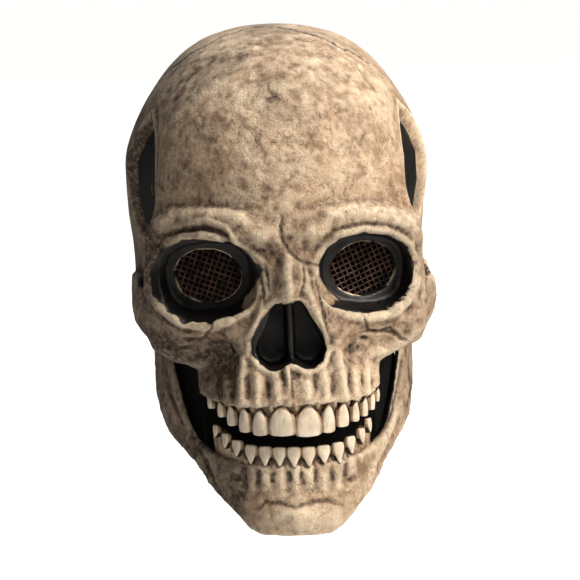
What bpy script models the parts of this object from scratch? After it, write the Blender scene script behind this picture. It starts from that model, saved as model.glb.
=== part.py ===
"""Full-head skull mask with a hinged lower jaw, in metres, +Z up, face towards -Y.

The origin is the inside of the crown, where the wearer's head carries the mask.
A drop is a distance down from the top of the crown, and an angle runs round the
head from 0 at the face to 180 at the back.
"""

import math

import bmesh
import bpy
import numpy as np
from mathutils import Vector

# Cranium and upper face
HEAD_HALF_WIDTH = 0.090
HEAD_FRONT = 0.113
HEAD_BACK = 0.118
SHELL_HEIGHT = 0.207
WALL = 0.003

# Eye sockets and their holes
EYE_SPACING = 0.087
EYE_DROP = 0.137
SOCKET_HALF_WIDTH = 0.0275
SOCKET_HALF_HEIGHT = 0.0225
SOCKET_DEPTH = 0.034
SOCKET_TAPER = 0.86
SOCKET_TURN = math.radians(20)
SOCKET_TILT = math.radians(-7)
EYE_HOLE_HALF_WIDTH = 0.0185
EYE_HOLE_HALF_HEIGHT = 0.015

# Nose
NOSE_TOP_DROP = 0.148
NOSE_BOTTOM_DROP = 0.187
NOSE_HALF_WIDTH = 0.0192
NOSE_DEPTH = 0.022
SEPTUM_THICKNESS = 0.003
SEPTUM_SETBACK = 0.006

# Openings under the cheekbones and the rim at the neck
SIDE_OPENING_SETBACK = 0.046
SIDE_OPENING_LENGTH = 0.047
SIDE_OPENING_TOP_DROP = 0.147
SIDE_RIM_DROP = 0.171
NAPE_RIM_DROP = 0.250
NAPE_FRONT_Y = 0.026
NAPE_SLOPE = 0.026
OPENING_CORNER = 0.010

# Swellings of the face and the bar from each cheekbone to the ear
RELIEF_HEIGHT = 0.010
CHEEK_ARCH_THICKNESS = 0.0075
CHEEK_ARCH_HEIGHT = 0.017

# Teeth
GUM_PROUD = 0.007
ARCH_HALF_WIDTH = 0.0515
ARCH_LENGTH = 0.054
LOWER_ROW_SETBACK = 0.003
LOWER_ROW_OVERBITE = 0.0085
UPPER_ROW_LENGTH = 0.0675
LOWER_ROW_LENGTH = 0.0605
TOOTH_THICKNESS = 0.0065
UPPER_TOOTH_LENGTH = 0.0155
LOWER_TOOTH_LENGTH = 0.0125
BITE_GAP = 0.0065
GUM_RISE = 0.005
TOOTH_GROOVE = 0.0022
TOOTH_NOTCH = 0.0045

# Black cloth behind the teeth, and its wings that close the gaps beside the mouth
CLOTH_THICKNESS = 0.0015
CLOTH_TOP_DROP = 0.188
CLOTH_BOTTOM_DROP = 0.250
CLOTH_LAP = 0.0015
CLOTH_WING_LENGTH = 0.022
CLOTH_WING_TOP_DROP = 0.179
CLOTH_CORNER_BOTTOM_DROP = 0.2305
CLOTH_WING_BOTTOM_DROP = 0.243
CLOTH_JAW_GAP = 0.0015

# Lower jaw and its hinge
JAW_INSET = 0.0135
CHIN_SETBACK = 0.0005
CHIN_HEIGHT = 0.0395
JAW_WALL = 0.0045
HINGE_AHEAD = 0.006
HINGE_DROP = 0.153
PIN_RADIUS = 0.003
PIN_HEAD_RADIUS = 0.0065
PIN_HEAD_THICKNESS = 0.002
HINGE_EYE_RADIUS = 0.0095
HINGE_EYE_THICKNESS = 0.0055

# Eye screens
SCREEN_MARGIN = 0.003
SCREEN_THICKNESS = 0.0014
SCREEN_PITCH = 0.0047
SCREEN_STRAND = 0.0015

# Gaps
SEAT_GAP = 0.0003
HINGE_SIDE_GAP = 0.0008
PIN_GAP = 0.0003

TOP = WALL
UPPER_GUM_DROP = SHELL_HEIGHT
UPPER_EDGE_DROP = UPPER_GUM_DROP + UPPER_TOOTH_LENGTH
LOWER_EDGE_DROP = UPPER_EDGE_DROP + BITE_GAP
LOWER_GUM_DROP = LOWER_EDGE_DROP + LOWER_TOOTH_LENGTH
CHIN_DROP = LOWER_GUM_DROP + CHIN_HEIGHT
JAW_HALF_WIDTH = HEAD_HALF_WIDTH - JAW_INSET
JAW_FRONT = HEAD_FRONT - CHIN_SETBACK
ARCH_CENTRE_Y = ARCH_LENGTH - HEAD_FRONT - GUM_PROUD
SIDE_OPENING_FRONT_Y = SIDE_OPENING_SETBACK - HEAD_FRONT
SIDE_OPENING_BACK_Y = SIDE_OPENING_FRONT_Y + SIDE_OPENING_LENGTH
HINGE_Y = -HINGE_AHEAD
HINGE_Z = TOP - HINGE_DROP

# Each section of the head: its drop as a share of SHELL_HEIGHT, then how far the
# surface stands from the middle at each angle, as a share of the plain egg there.
SECTION_ANGLES = (0, 27, 47, 64, 98, 140, 180)
HEAD_SECTIONS = (
    # name, drop, front, brow, rim, temple, side, rear, back
    ("crown", 0.000, 0.00, 0.00, 0.00, 0.00, 0.00, 0.00, 0.00),
    ("cap", 0.030, 0.38, 0.38, 0.39, 0.39, 0.40, 0.41, 0.42),
    ("dome", 0.097, 0.65, 0.65, 0.64, 0.63, 0.64, 0.66, 0.67),
    ("hairline", 0.198, 0.86, 0.86, 0.84, 0.82, 0.82, 0.83, 0.84),
    ("forehead", 0.290, 0.945, 0.945, 0.93, 0.92, 0.93, 0.92, 0.92),
    ("widest", 0.380, 0.985, 0.98, 0.98, 0.97, 0.99, 0.98, 0.98),
    ("temple", 0.475, 0.985, 0.99, 1.01, 0.96, 0.99, 0.99, 1.00),
    ("brow", 0.540, 1.01, 1.03, 1.065, 0.93, 0.985, 0.98, 0.99),
    ("eye_top", 0.620, 0.950, 0.99, 1.095, 0.91, 0.965, 0.955, 0.965),
    ("eye_low", 0.725, 0.973, 1.01, 1.095, 0.92, 0.955, 0.90, 0.905),
    ("cheekbone", 0.812, 0.990, 0.98, 1.075, 0.95, 0.945, 0.84, 0.835),
    ("cheek_edge", 0.880, 1.010, 0.955, 1.020, 0.90, 0.90, 0.81, 0.785),
    ("upper_jaw", 0.928, 1.032, 0.955, 0.720, 0.85, 0.86, 0.79, 0.75),
    ("gum", 1.000, 1.058, 0.977, 0.710, 0.80, 0.80, 0.77, 0.72),
    ("nape", 1.220, 1.058, 0.977, 0.710, 0.72, 0.76, 0.76, 0.73),
)

# Soft swellings and hollows: centre angle, centre drop share, their half sizes in
# the same terms, and the push outwards as a share of RELIEF_HEIGHT.
RELIEF = (
    # name, angle, drop, half angle, half drop, push
    ("brow_ridge", 22, 0.525, 12, 0.035, 0.40),
    ("outer_brow", 42, 0.555, 8, 0.035, 0.30),
    ("nose_bridge", 0, 0.655, 5.5, 0.075, 1.10),
    ("cheek_swell", 42, 0.810, 8, 0.050, 0.30),
    ("cheek_hollow", 23, 0.865, 7, 0.055, -0.50),
    ("temple_hollow", 58, 0.470, 9, 0.190, -1.30),
    ("eye_tooth_root", 15, 0.950, 3, 0.060, 0.15),
)

# Zygomatic arch: place along its run as a share of HEAD_FRONT, outer face of
# HEAD_HALF_WIDTH, centre of HINGE_DROP, and its section of the arch's own sizes.
CHEEK_ARCH = (
    # name, place, outer face, drop, thickness, height
    ("cheek", 0.690, 0.850, 1.059, 1.47, 1.88),
    ("front", 0.513, 0.955, 1.026, 1.20, 1.41),
    ("middle", 0.319, 0.975, 1.000, 1.00, 1.00),
    ("root", 0.053, 0.975, 0.980, 1.07, 1.06),
)

# Nose opening as a half outline: width and height shares of the opening.
NOSE_OUTLINE = (
    # width, height
    (0.00, 1.00),
    (0.34, 1.00),
    (0.52, 0.86),
    (0.70, 0.62),
    (0.92, 0.42),
    (1.00, 0.28),
    (0.93, 0.12),
    (0.62, 0.00),
    (0.28, 0.04),
    (0.00, 0.14),
)

# The teeth of each row from the middle outwards, the same on both sides: their
# widths as shares of half the row, and their lengths of the row's tooth length.
UPPER_TEETH = (
    # name, width, length
    ("front_incisor", 0.200, 1.00),
    ("side_incisor", 0.133, 0.90),
    ("eye_tooth", 0.133, 0.82),
    ("front_bicuspid", 0.126, 0.80),
    ("rear_bicuspid", 0.126, 0.82),
    ("front_molar", 0.141, 0.82),
    ("rear_molar", 0.141, 0.76),
)
LOWER_TEETH = (
    # name, width, length
    ("front_incisor", 0.149, 1.00),
    ("side_incisor", 0.140, 1.06),
    ("eye_tooth", 0.149, 1.12),
    ("front_bicuspid", 0.132, 1.10),
    ("rear_bicuspid", 0.132, 1.08),
    ("front_molar", 0.149, 1.08),
    ("rear_molar", 0.149, 1.12),
)

# Lower jaw from the chin to the hinge, half of it: place of the outer face, how far
# the top stands above the gum line as a share of the way to the hinge, the drop of
# the bottom as a share of CHIN_DROP, and how far the bottom draws in and the wall at
# the gum as shares of JAW_WALL.
JAW_SECTIONS = (
    # name, half width, front, top, bottom, draw in, gum wall
    ("chin", 0.000, 1.000, 0.00, 1.000, 0.44, 1.9),
    ("side_tooth", 0.250, 0.962, 0.00, 0.999, 0.22, 1.9),
    ("eye_tooth", 0.430, 0.890, 0.00, 0.966, 0.22, 1.9),
    ("bicuspid", 0.560, 0.790, 0.00, 0.930, -0.22, 1.9),
    ("molar", 0.660, 0.655, 0.00, 0.890, -0.67, 1.9),
    ("last_molar", 0.760, 0.530, 0.10, 0.862, -0.67, 1.3),
    ("ramus_front", 0.860, 0.410, 0.48, 0.843, -0.22, 1.0),
    ("coronoid", 0.930, 0.300, 0.93, 0.826, 0.00, 1.0),
    ("ramus_notch", 0.975, 0.185, 0.82, 0.795, 0.00, 1.0),
    ("condyle", 1.000, 0.060, 0.94, 0.755, 0.00, 1.0),
    ("ramus_back", 1.000, -0.010, 0.88, 0.710, 0.00, 1.0),
)

# How far the jaw's outer face stands proud down its height, at the chin, as a share
# of JAW_WALL.
CHIN_PROFILE = (
    # height share from the top, push outwards
    (0.00, 0.00),
    (0.30, -0.22),
    (0.70, 1.00),
    (1.00, 0.22),
)

# Counts of the net that the head is drawn with: columns on the face and behind it,
# and rows
FACE_END_ANGLE = 76
OUTSIDE_NET = (16, 8, 26)
INSIDE_NET = (14, 6, 18)

COLOURS = {
    # name: red, green, blue, roughness
    "bone": (0.46, 0.34, 0.23, 0.75),
    "jaw_bone": (0.42, 0.31, 0.21, 0.75),
    "tooth": (0.72, 0.66, 0.56, 0.45),
    "screen": (0.02, 0.02, 0.02, 0.60),
    "cloth": (0.01, 0.01, 0.01, 0.90),
    "pin": (0.03, 0.03, 0.03, 0.40),
}


def clear_scene():
    """Removes every object the file opened with."""
    for obj in list(bpy.data.objects):
        bpy.data.objects.remove(obj, do_unlink=True)


def material(name):
    """The Principled material of that name, made once."""
    found = bpy.data.materials.get(name)
    if found:
        return found
    red, green, blue, roughness = COLOURS[name]
    made = bpy.data.materials.new(name)
    made.use_nodes = True
    shader = made.node_tree.nodes["Principled BSDF"]
    shader.inputs["Base Color"].default_value = (red, green, blue, 1)
    shader.inputs["Roughness"].default_value = roughness
    return made


def object_from(name, bm, finish=None, smooth_angle=40):
    """Links a mesh object made from bm, and shades it smooth up to an angle."""
    bmesh.ops.recalc_face_normals(bm, faces=bm.faces)
    mesh = bpy.data.meshes.new(name)
    bm.to_mesh(mesh)
    bm.free()
    mesh.shade_smooth()
    mesh.set_sharp_from_angle(angle=math.radians(smooth_angle))
    obj = bpy.data.objects.new(name, mesh)
    bpy.context.scene.collection.objects.link(obj)
    if finish:
        mesh.materials.append(material(finish))
    return obj


def helper(obj):
    """Marks an operand of a Boolean, which isn't a piece itself."""
    obj.hide_render = True
    obj.display_type = "WIRE"
    return obj


def boolean(target, operation, other):
    """Adds a live Boolean with the exact solver."""
    modifier = target.modifiers.new(f"{operation}_{other.name}", "BOOLEAN")
    modifier.operation = operation
    modifier.object = other
    modifier.solver = "EXACT"


def loft(rings, top_point=None):
    """A closed mesh through rings of equal counts, capped at both ends.

    Its sides are triangles, since a Boolean wants flat faces.
    """
    bm = bmesh.new()
    loops = [[bm.verts.new(point) for point in ring] for ring in rings]
    for near, far in zip(loops, loops[1:]):
        for i in range(len(near)):
            j = (i + 1) % len(near)
            bm.faces.new((near[i], near[j], far[j], far[i]))
    bmesh.ops.triangulate(bm, faces=bm.faces)
    if top_point is None:
        bm.faces.new(loops[0][::-1])
    else:
        pole = bm.verts.new(top_point)
        for i in range(len(loops[0])):
            bm.faces.new((pole, loops[0][(i + 1) % len(loops[0])], loops[0][i]))
    bm.faces.new(loops[-1])
    return bm


def cylinder_x(name, radius, x_from, x_to, y, z, finish=None, sides=14):
    """A round bar along X."""
    low, high = sorted((x_from, x_to))
    rings = []
    for x in (low, high):
        turns = [2 * math.pi * i / sides for i in range(sides)]
        rings.append([(x, y + radius * math.cos(a), z + radius * math.sin(a)) for a in turns])
    return object_from(name, loft(rings), finish)


def slopes(values):
    """Slopes at each knot for a smooth curve that never overshoots its knots."""
    values = np.asarray(values, float)
    steps = np.diff(values, axis=0)
    inner = (steps[:-1] + steps[1:]) / 2
    limit = 3 * np.minimum(abs(steps[:-1]), abs(steps[1:]))
    inner = np.where(steps[:-1] * steps[1:] > 0, np.clip(inner, -limit, limit), 0)
    return np.concatenate([steps[:1], inner, steps[-1:]])


def curve_at(values, slope, t):
    """The smooth curve through values at t, which counts knots."""
    i = min(int(t), len(values) - 2)
    s = t - i
    a, b = np.asarray(values[i]), np.asarray(values[i + 1])
    rise = slope[i] * s * (1 - s) ** 2 - slope[i + 1] * s**2 * (1 - s)
    return a + (b - a) * (3 * s**2 - 2 * s**3) + rise


def table_curve(table, columns):
    """A function of t through the named table's numeric columns."""
    values = np.array([row[columns[0] : columns[1]] for row in table], float)
    slope = slopes(values)
    return lambda t: curve_at(values, slope, t)


def head_curve():
    """Drop and shares of the head at t, flat over the crown."""
    values = np.array([row[1:] for row in HEAD_SECTIONS], float)
    slope = slopes(values)
    slope[0] = values[1] * 1.15
    slope[0][0] = 0.0
    return lambda t: curve_at(values, slope, t)


def egg_radius(angle):
    """Distance from the head's middle to the plain egg at an angle."""
    turn = math.radians(angle)
    depth = HEAD_FRONT if angle <= 90 else HEAD_BACK
    return 1 / math.hypot(math.sin(turn) / HEAD_HALF_WIDTH, math.cos(turn) / depth)


def share_at(shares, angle):
    """The share at any angle, from the seven named ones."""
    knots = SECTION_ANGLES
    i = max(k for k in range(len(knots) - 1) if knots[k] <= angle)
    mirrored = [shares[1], *shares, shares[-2]]
    places = [-knots[1], *knots, 360 - knots[-2]]
    span = knots[i + 1] - knots[i]
    s = (angle - knots[i]) / span
    near = (mirrored[i + 2] - mirrored[i]) / (places[i + 2] - places[i]) * span
    far = (mirrored[i + 3] - mirrored[i + 1]) / (places[i + 3] - places[i + 1]) * span
    step = (mirrored[i + 2] - mirrored[i + 1]) * (3 * s**2 - 2 * s**3)
    return mirrored[i + 1] + step + near * s * (1 - s) ** 2 - far * s**2 * (1 - s)


def relief_at(angle, drop_share):
    """The push of all swellings and hollows at a place on the head."""
    push = 0.0
    for _, centre, drop, half_angle, half_drop, height in RELIEF:
        across = ((angle - centre) / half_angle) ** 2
        down = ((drop_share - drop) / half_drop) ** 2
        push += RELIEF_HEIGHT * height * math.exp(-((across + down) ** 1.5))
    return push


def head_point(curve, t, angle):
    """A point of the head's outer face. A negative angle is the left side."""
    drop_share, *shares = curve(t)
    size = abs(angle)
    radius = egg_radius(size) * share_at(shares, size)
    if t > 2:
        radius += relief_at(size, drop_share)
    turn = math.radians(angle)
    z = TOP - drop_share * SHELL_HEIGHT
    return Vector((radius * math.sin(turn), -radius * math.cos(turn), z))


def head_angles(face_columns, head_columns):
    """Angles round the head, closer together on the face."""
    face = np.linspace(0, FACE_END_ANGLE, face_columns)
    rest = np.linspace(FACE_END_ANGLE, 180, head_columns)[1:]
    half = [*face, *rest]
    return [*half, *[-a for a in half[-2:0:-1]]]


def head_solid(name, inset, face_columns, head_columns, row_count):
    """The head as a solid, drawn in by inset, that runs on below the rim."""
    curve = head_curve()
    last = len(HEAD_SECTIONS) - 1
    rows = [last * (i + 1) / row_count for i in range(row_count)]
    angles = head_angles(face_columns, head_columns)
    small_t, small_angle = 0.02, 0.5
    rings = []
    for t in rows:
        ring = []
        for angle in angles:
            point = head_point(curve, t, angle)
            if inset:
                down = head_point(curve, min(t, last - small_t) + small_t, angle)
                along = head_point(curve, t, angle + small_angle)
                start = head_point(curve, min(t, last - small_t), angle)
                normal = (along - point).cross(down - start).normalized()
                outward = Vector((point.x, point.y, 0.2 * (point.z + EYE_DROP)))
                point = point - normal * math.copysign(inset, normal.dot(outward))
            ring.append(point)
        rings.append(ring)
    run_on = (3 if inset else 1) * OPENING_CORNER
    rings.append([Vector((p.x, p.y, p.z - run_on)) for p in rings[-1]])
    return object_from(name, loft(rings, Vector((0, 0, TOP - inset))), "bone")


def prism_x(name, outline, half_length):
    """A solid of an outline in (y, z), as long as twice half_length along X."""
    rings = [[(x, y, z) for y, z in outline] for x in (-half_length, half_length)]
    return object_from(name, loft(rings))


def rounded(corner, before, after, radius, steps=4):
    """Points that round a corner of an outline."""
    corner, before, after = Vector(corner), Vector(before), Vector(after)
    start = corner + (before - corner).normalized() * radius
    end = corner + (after - corner).normalized() * radius
    shares = [i / steps for i in range(steps + 1)]
    return [
        tuple(start * (1 - s) ** 2 + corner * 2 * s * (1 - s) + end * s**2) for s in shares
    ]


def gum_z(middle_drop, y):
    """Height of a gum line at y: it rises from the middle tooth to the last one."""
    front = ARCH_CENTRE_Y - ARCH_LENGTH
    share = min(max((y - front) / ARCH_LENGTH, 0.0), 1.0)
    return TOP - middle_drop + GUM_RISE * share


def underside_cutter():
    """What is cut away below: the openings under the cheekbones and the neck rim."""
    deep = TOP - 2 * SHELL_HEIGHT
    front, back = SIDE_OPENING_FRONT_Y, SIDE_OPENING_BACK_Y
    top, rim, nape = (TOP - d for d in (SIDE_OPENING_TOP_DROP, SIDE_RIM_DROP, NAPE_RIM_DROP))
    far = 2 * HEAD_BACK
    radius = OPENING_CORNER
    outline = [(-far, deep), (-far, gum_z(UPPER_GUM_DROP, -far))]
    for y in (-HEAD_FRONT, 0.75 * front - 0.25 * HEAD_FRONT, front):
        outline.append((y, gum_z(UPPER_GUM_DROP, y)))
    outline += rounded((front, top), (front, deep), (back, top), radius)
    outline += rounded((back, top), (front, top), (back, rim), radius)
    low_corner = (NAPE_FRONT_Y, rim)
    nape_corner = (NAPE_FRONT_Y + NAPE_SLOPE, nape)
    outline += [(back, rim)]
    outline += rounded(low_corner, (back, rim), nape_corner, radius)
    outline += rounded(nape_corner, low_corner, (far, nape), radius)
    outline += [(far, nape), (far, deep)]
    return helper(prism_x("underside_cutter", outline, 2 * HEAD_HALF_WIDTH))


def set_back(outwards):
    """How far the turned eye socket lies back at a distance outwards of its middle."""
    return outwards * math.tan(SOCKET_TURN)


def socket_ring(side, y, scale, grow=0.0, sides=20):
    """One ring of an eye socket: a rounded square, tilted down at its outer end."""
    ring = []
    centre_x, centre_z = side * EYE_SPACING / 2, TOP - EYE_DROP
    for i in range(sides):
        turn = 2 * math.pi * i / sides
        c, s = math.cos(turn), math.sin(turn)
        across = math.copysign(abs(c) ** 0.75, c) * (SOCKET_HALF_WIDTH * scale + grow)
        up = math.copysign(abs(s) ** 0.75, s) * (SOCKET_HALF_HEIGHT * scale + grow)
        tilt = side * SOCKET_TILT
        x = across * math.cos(tilt) - up * math.sin(tilt)
        z = across * math.sin(tilt) + up * math.cos(tilt)
        ring.append((centre_x + x, y + set_back(side * x), centre_z + z))
    return ring


def socket_floor_y():
    """Where the middle of the eye sockets' floor lies."""
    return -HEAD_FRONT + SOCKET_DEPTH


def socket_cup(side):
    """What the wall of one eye socket leaves of the cavity behind it."""
    floor = socket_floor_y()
    rings = [
        socket_ring(side, -HEAD_FRONT, 1, WALL),
        socket_ring(side, floor + WALL, SOCKET_TAPER, WALL),
    ]
    return helper(object_from(f"socket_cup_{side_name(side)}", loft(rings)))


def socket_cutter(side):
    """The hollow of one eye socket."""
    floor = socket_floor_y()
    rings = [
        socket_ring(side, -HEAD_FRONT - SOCKET_DEPTH, 1),
        socket_ring(side, -HEAD_FRONT + SOCKET_DEPTH / 2, 1),
        socket_ring(side, floor, SOCKET_TAPER),
    ]
    return helper(object_from(f"socket_cutter_{side_name(side)}", loft(rings)))


def eye_hole_cutter(side):
    """The hole to see through, in the floor of a socket."""
    floor = socket_floor_y()
    sides = 20
    turns = [2 * math.pi * i / sides for i in range(sides)]
    outline = [(EYE_HOLE_HALF_WIDTH * math.cos(a), EYE_HOLE_HALF_HEIGHT * math.sin(a)) for a in turns]
    x, z = side * EYE_SPACING / 2, TOP - EYE_DROP
    rings = [
        [(x + u, y + set_back(side * u), z + v) for u, v in outline]
        for y in (floor - WALL, floor + 2 * WALL)
    ]
    return helper(object_from(f"eye_hole_cutter_{side_name(side)}", loft(rings)))


def nose_outline(grow=0.0, gap=0.0, side=0):
    """The nose opening in (x, z): all of it, or one half beside the septum."""
    height = NOSE_BOTTOM_DROP - NOSE_TOP_DROP
    base = TOP - NOSE_BOTTOM_DROP
    middle = base + height / 2
    points = []
    for width, up in NOSE_OUTLINE:
        x = width * NOSE_HALF_WIDTH
        z = base + up * height
        reach = math.hypot(x, z - middle)
        stretch = (reach + grow) / reach
        points.append((x * stretch, middle + (z - middle) * stretch))
    if side:
        return [(side * max(x, gap), z) for x, z in points]
    return points + [(-x, z) for x, z in points[-2:0:-1]]


def nose_pocket():
    """What the wall of the nose recess leaves of the cavity behind it."""
    back = -HEAD_FRONT + NOSE_DEPTH + WALL
    rings = [[(x, y, z) for x, z in nose_outline(WALL)] for y in (-2 * HEAD_FRONT, back)]
    return helper(object_from("nose_pocket", loft(rings)))


def nose_cutter():
    """The opening of the nose, as deep as the septum's front edge."""
    rings = [
        [(x, y, z) for x, z in nose_outline()]
        for y in (-2 * HEAD_FRONT, -HEAD_FRONT + SEPTUM_SETBACK)
    ]
    return helper(object_from("nose_cutter", loft(rings)))


def nostril_cutter(side):
    """One half of the nose recess, beside the septum."""
    rings = [
        [(x, y, z) for x, z in nose_outline(0, SEPTUM_THICKNESS / 2, side)]
        for y in (-HEAD_FRONT, -HEAD_FRONT + NOSE_DEPTH)
    ]
    return helper(object_from(f"nostril_cutter_{side_name(side)}", loft(rings)))


def cheek_arch(side):
    """The bar from the cheekbone back to the ear."""
    curve = table_curve(CHEEK_ARCH, (1, 6))
    sides, steps = 10, 9
    rings = []
    for i in range(steps):
        t = (len(CHEEK_ARCH) - 1) * i / (steps - 1)
        place, outer, drop, thickness, height = curve(t)
        y, z = -place * HEAD_FRONT, TOP - drop * HINGE_DROP
        thickness *= CHEEK_ARCH_THICKNESS
        height *= CHEEK_ARCH_HEIGHT
        middle = outer * HEAD_HALF_WIDTH - thickness / 2
        ring = []
        for k in range(sides):
            turn = 2 * math.pi * k / sides
            c, s = math.cos(turn), math.sin(turn)
            x = middle + thickness / 2 * math.copysign(abs(c) ** 0.8, c)
            ring.append((side * x, y, z + height / 2 * math.copysign(abs(s) ** 0.8, s)))
        rings.append(ring)
    return helper(object_from(f"cheek_arch_{side_name(side)}", loft(rings)))


def side_name(side):
    """Left and right as the wearer has them: the wearer's left is +X."""
    return "left" if side > 0 else "right"


def hinge_faces():
    """Places along X of the hinge: jaw eye's inner and outer face, and the boss."""
    eye_outer = JAW_HALF_WIDTH
    eye_inner = eye_outer - HINGE_EYE_THICKNESS
    return eye_inner, eye_outer, eye_outer + HINGE_SIDE_GAP


def arch_outer_x():
    """Half width of the outer face of the cheek arch at the hinge."""
    return CHEEK_ARCH[-1][2] * HEAD_HALF_WIDTH


def pin_pad_x():
    """Half width of the flat pad under the hinge pin's outer head."""
    return arch_outer_x() - PIN_HEAD_THICKNESS - SEAT_GAP


def hinge_boss(side):
    """The thick seat of the hinge pin, inside and outside the wall."""
    start = hinge_faces()[2]
    return helper(
        cylinder_x(
            f"hinge_boss_{side_name(side)}",
            HINGE_EYE_RADIUS,
            side * start,
            side * arch_outer_x(),
            HINGE_Y,
            HINGE_Z,
        )
    )


def pin_head_recess(side):
    """The round recess that takes the hinge pin's outer head."""
    return helper(
        cylinder_x(
            f"pin_head_recess_{side_name(side)}",
            PIN_HEAD_RADIUS + PIN_GAP,
            side * pin_pad_x(),
            side * 2 * HEAD_HALF_WIDTH,
            HINGE_Y,
            HINGE_Z,
        )
    )


def hinge_bore(side, name, reach_from, reach_to):
    """A hole for the hinge pin."""
    radius = PIN_RADIUS + PIN_GAP
    return helper(
        cylinder_x(name, radius, side * reach_from, side * reach_to, HINGE_Y, HINGE_Z)
    )


def skull_shell():
    """The cast upper skull: cranium, sockets, nose, cheek arches and upper jaw."""
    shell = head_solid("skull_shell", 0, *OUTSIDE_NET)
    cavity = helper(head_solid("cavity", WALL, *INSIDE_NET))
    boolean(cavity, "DIFFERENCE", nose_pocket())
    for side in (-1, 1):
        boolean(cavity, "DIFFERENCE", socket_cup(side))
    boolean(shell, "DIFFERENCE", cavity)
    boolean(shell, "DIFFERENCE", underside_cutter())
    for side in (-1, 1):
        boolean(shell, "UNION", cheek_arch(side))
        boolean(shell, "UNION", hinge_boss(side))
    boolean(shell, "DIFFERENCE", nose_cutter())
    for side in (-1, 1):
        boolean(shell, "DIFFERENCE", socket_cutter(side))
        boolean(shell, "DIFFERENCE", eye_hole_cutter(side))
        boolean(shell, "DIFFERENCE", nostril_cutter(side))
        bore = hinge_bore(side, f"shell_bore_{side_name(side)}", JAW_HALF_WIDTH, HEAD_HALF_WIDTH)
        boolean(shell, "DIFFERENCE", bore)
        boolean(shell, "DIFFERENCE", pin_head_recess(side))
    return shell


def row_point(length, half_width, depth):
    """Place and outward direction on a tooth row, a length along it from the middle."""
    steps = 60
    side = math.copysign(1, length)
    left = abs(length)
    turn = 0.0
    step = math.pi / 2 / steps
    while left > 0 and turn < math.pi / 2:
        speed = math.hypot(half_width * math.cos(turn), depth * math.sin(turn))
        turn += min(step, left / speed)
        left -= speed * step
    x, y = half_width * math.sin(turn), ARCH_CENTRE_Y - depth * math.cos(turn)
    outward = Vector((math.sin(turn) / half_width, -math.cos(turn) / depth)).normalized()
    return Vector((side * x, y)), Vector((side * outward.x, outward.y))


def tooth_row(name, teeth, row_length, gum_drop, length, half_width, depth):
    """One row of teeth as one strip, with a groove between neighbours.

    A positive length points the teeth up.
    """
    per_tooth = (-0.96, -0.62, 0.0, 0.62, 0.96)
    stations = []
    start = 0.0
    for order, (_, width_share, share) in enumerate(teeth):
        width = width_share * row_length
        middle = start + width / 2
        stations += [(middle + u * width / 2, u, share, order) for u in per_tooth]
        start += width
    stations = [(-s, -u, share, order) for s, u, share, order in stations[::-1]] + stations
    way = math.copysign(1, length)
    rings = []
    for along, u, share, order in stations:
        place, outward = row_point(along, half_width, depth)
        gum = gum_z(gum_drop, place.y)
        groove = TOOTH_GROOVE * abs(u) ** 3
        notch = TOOTH_NOTCH * abs(u) ** 6
        thick = TOOTH_THICKNESS * (1.0 if order < 3 else 1.25)
        tip = gum + length * share - way * notch
        profile = (
            (0.0 - groove, gum + way * SEAT_GAP),
            (0.09 * TOOTH_THICKNESS - groove, gum + 0.45 * (tip - gum)),
            (-0.06 * TOOTH_THICKNESS - groove, tip - way * 0.18 * TOOTH_THICKNESS),
            (-0.25 * TOOTH_THICKNESS - groove / 2, tip),
            (-0.55 * thick, tip),
            (-thick, gum + 0.45 * (tip - gum)),
            (-thick, gum + way * SEAT_GAP),
        )
        rings.append([(*(place + outward * push), z) for push, z in profile])
    return object_from(name, loft(rings), "tooth", 30)


def shell_half_width(y, drop):
    """Half width of the shell's outer face at y, at a drop."""
    curve = head_curve()
    knots = [(i / 10, curve(i / 10)[0]) for i in range(10 * (len(HEAD_SECTIONS) - 1) + 1)]
    t = next(t for t, share in knots if share * SHELL_HEIGHT >= drop)
    points = [head_point(curve, t, angle / 2) for angle in range(180)]
    return min(points, key=lambda p: abs(p.y - y)).x


def jaw_station(curve, t, side):
    """Place, heights and wall of the jaw at t along one side of it."""
    half, front, top, bottom, draw, gum = curve(t)
    place = Vector((side * half * JAW_HALF_WIDTH, -front * JAW_FRONT))
    low = gum_z(LOWER_GUM_DROP, place.y)
    return place, low + top * (HINGE_Z - low), TOP - bottom * CHIN_DROP, draw, gum


def jaw_outward(curve, t, side):
    """The way out of the jaw's wall at t, level."""
    step, last = 0.05, len(JAW_SECTIONS) - 1
    place = jaw_station(curve, t, side)[0]
    ahead = jaw_station(curve, min(t + step, last), side)[0]
    behind = jaw_station(curve, max(t - step, 0), side)[0] if t else Vector((-ahead.x, ahead.y))
    run = (ahead - behind).normalized()
    outward = Vector((-run.y, run.x)) * -side
    return -outward if outward.dot(place) < 0 else outward


def jaw_inner_x(y):
    """Half width between the jaw's inner faces at y."""
    curve = table_curve(JAW_SECTIONS, (1, 7))
    points = []
    for i in range(20 * (len(JAW_SECTIONS) - 1)):
        place, _, _, _, gum = jaw_station(curve, i / 20, 1)
        points.append(place - jaw_outward(curve, i / 20, 1) * JAW_WALL * gum)
    return min(points, key=lambda p: abs(p.y - y)).x


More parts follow.
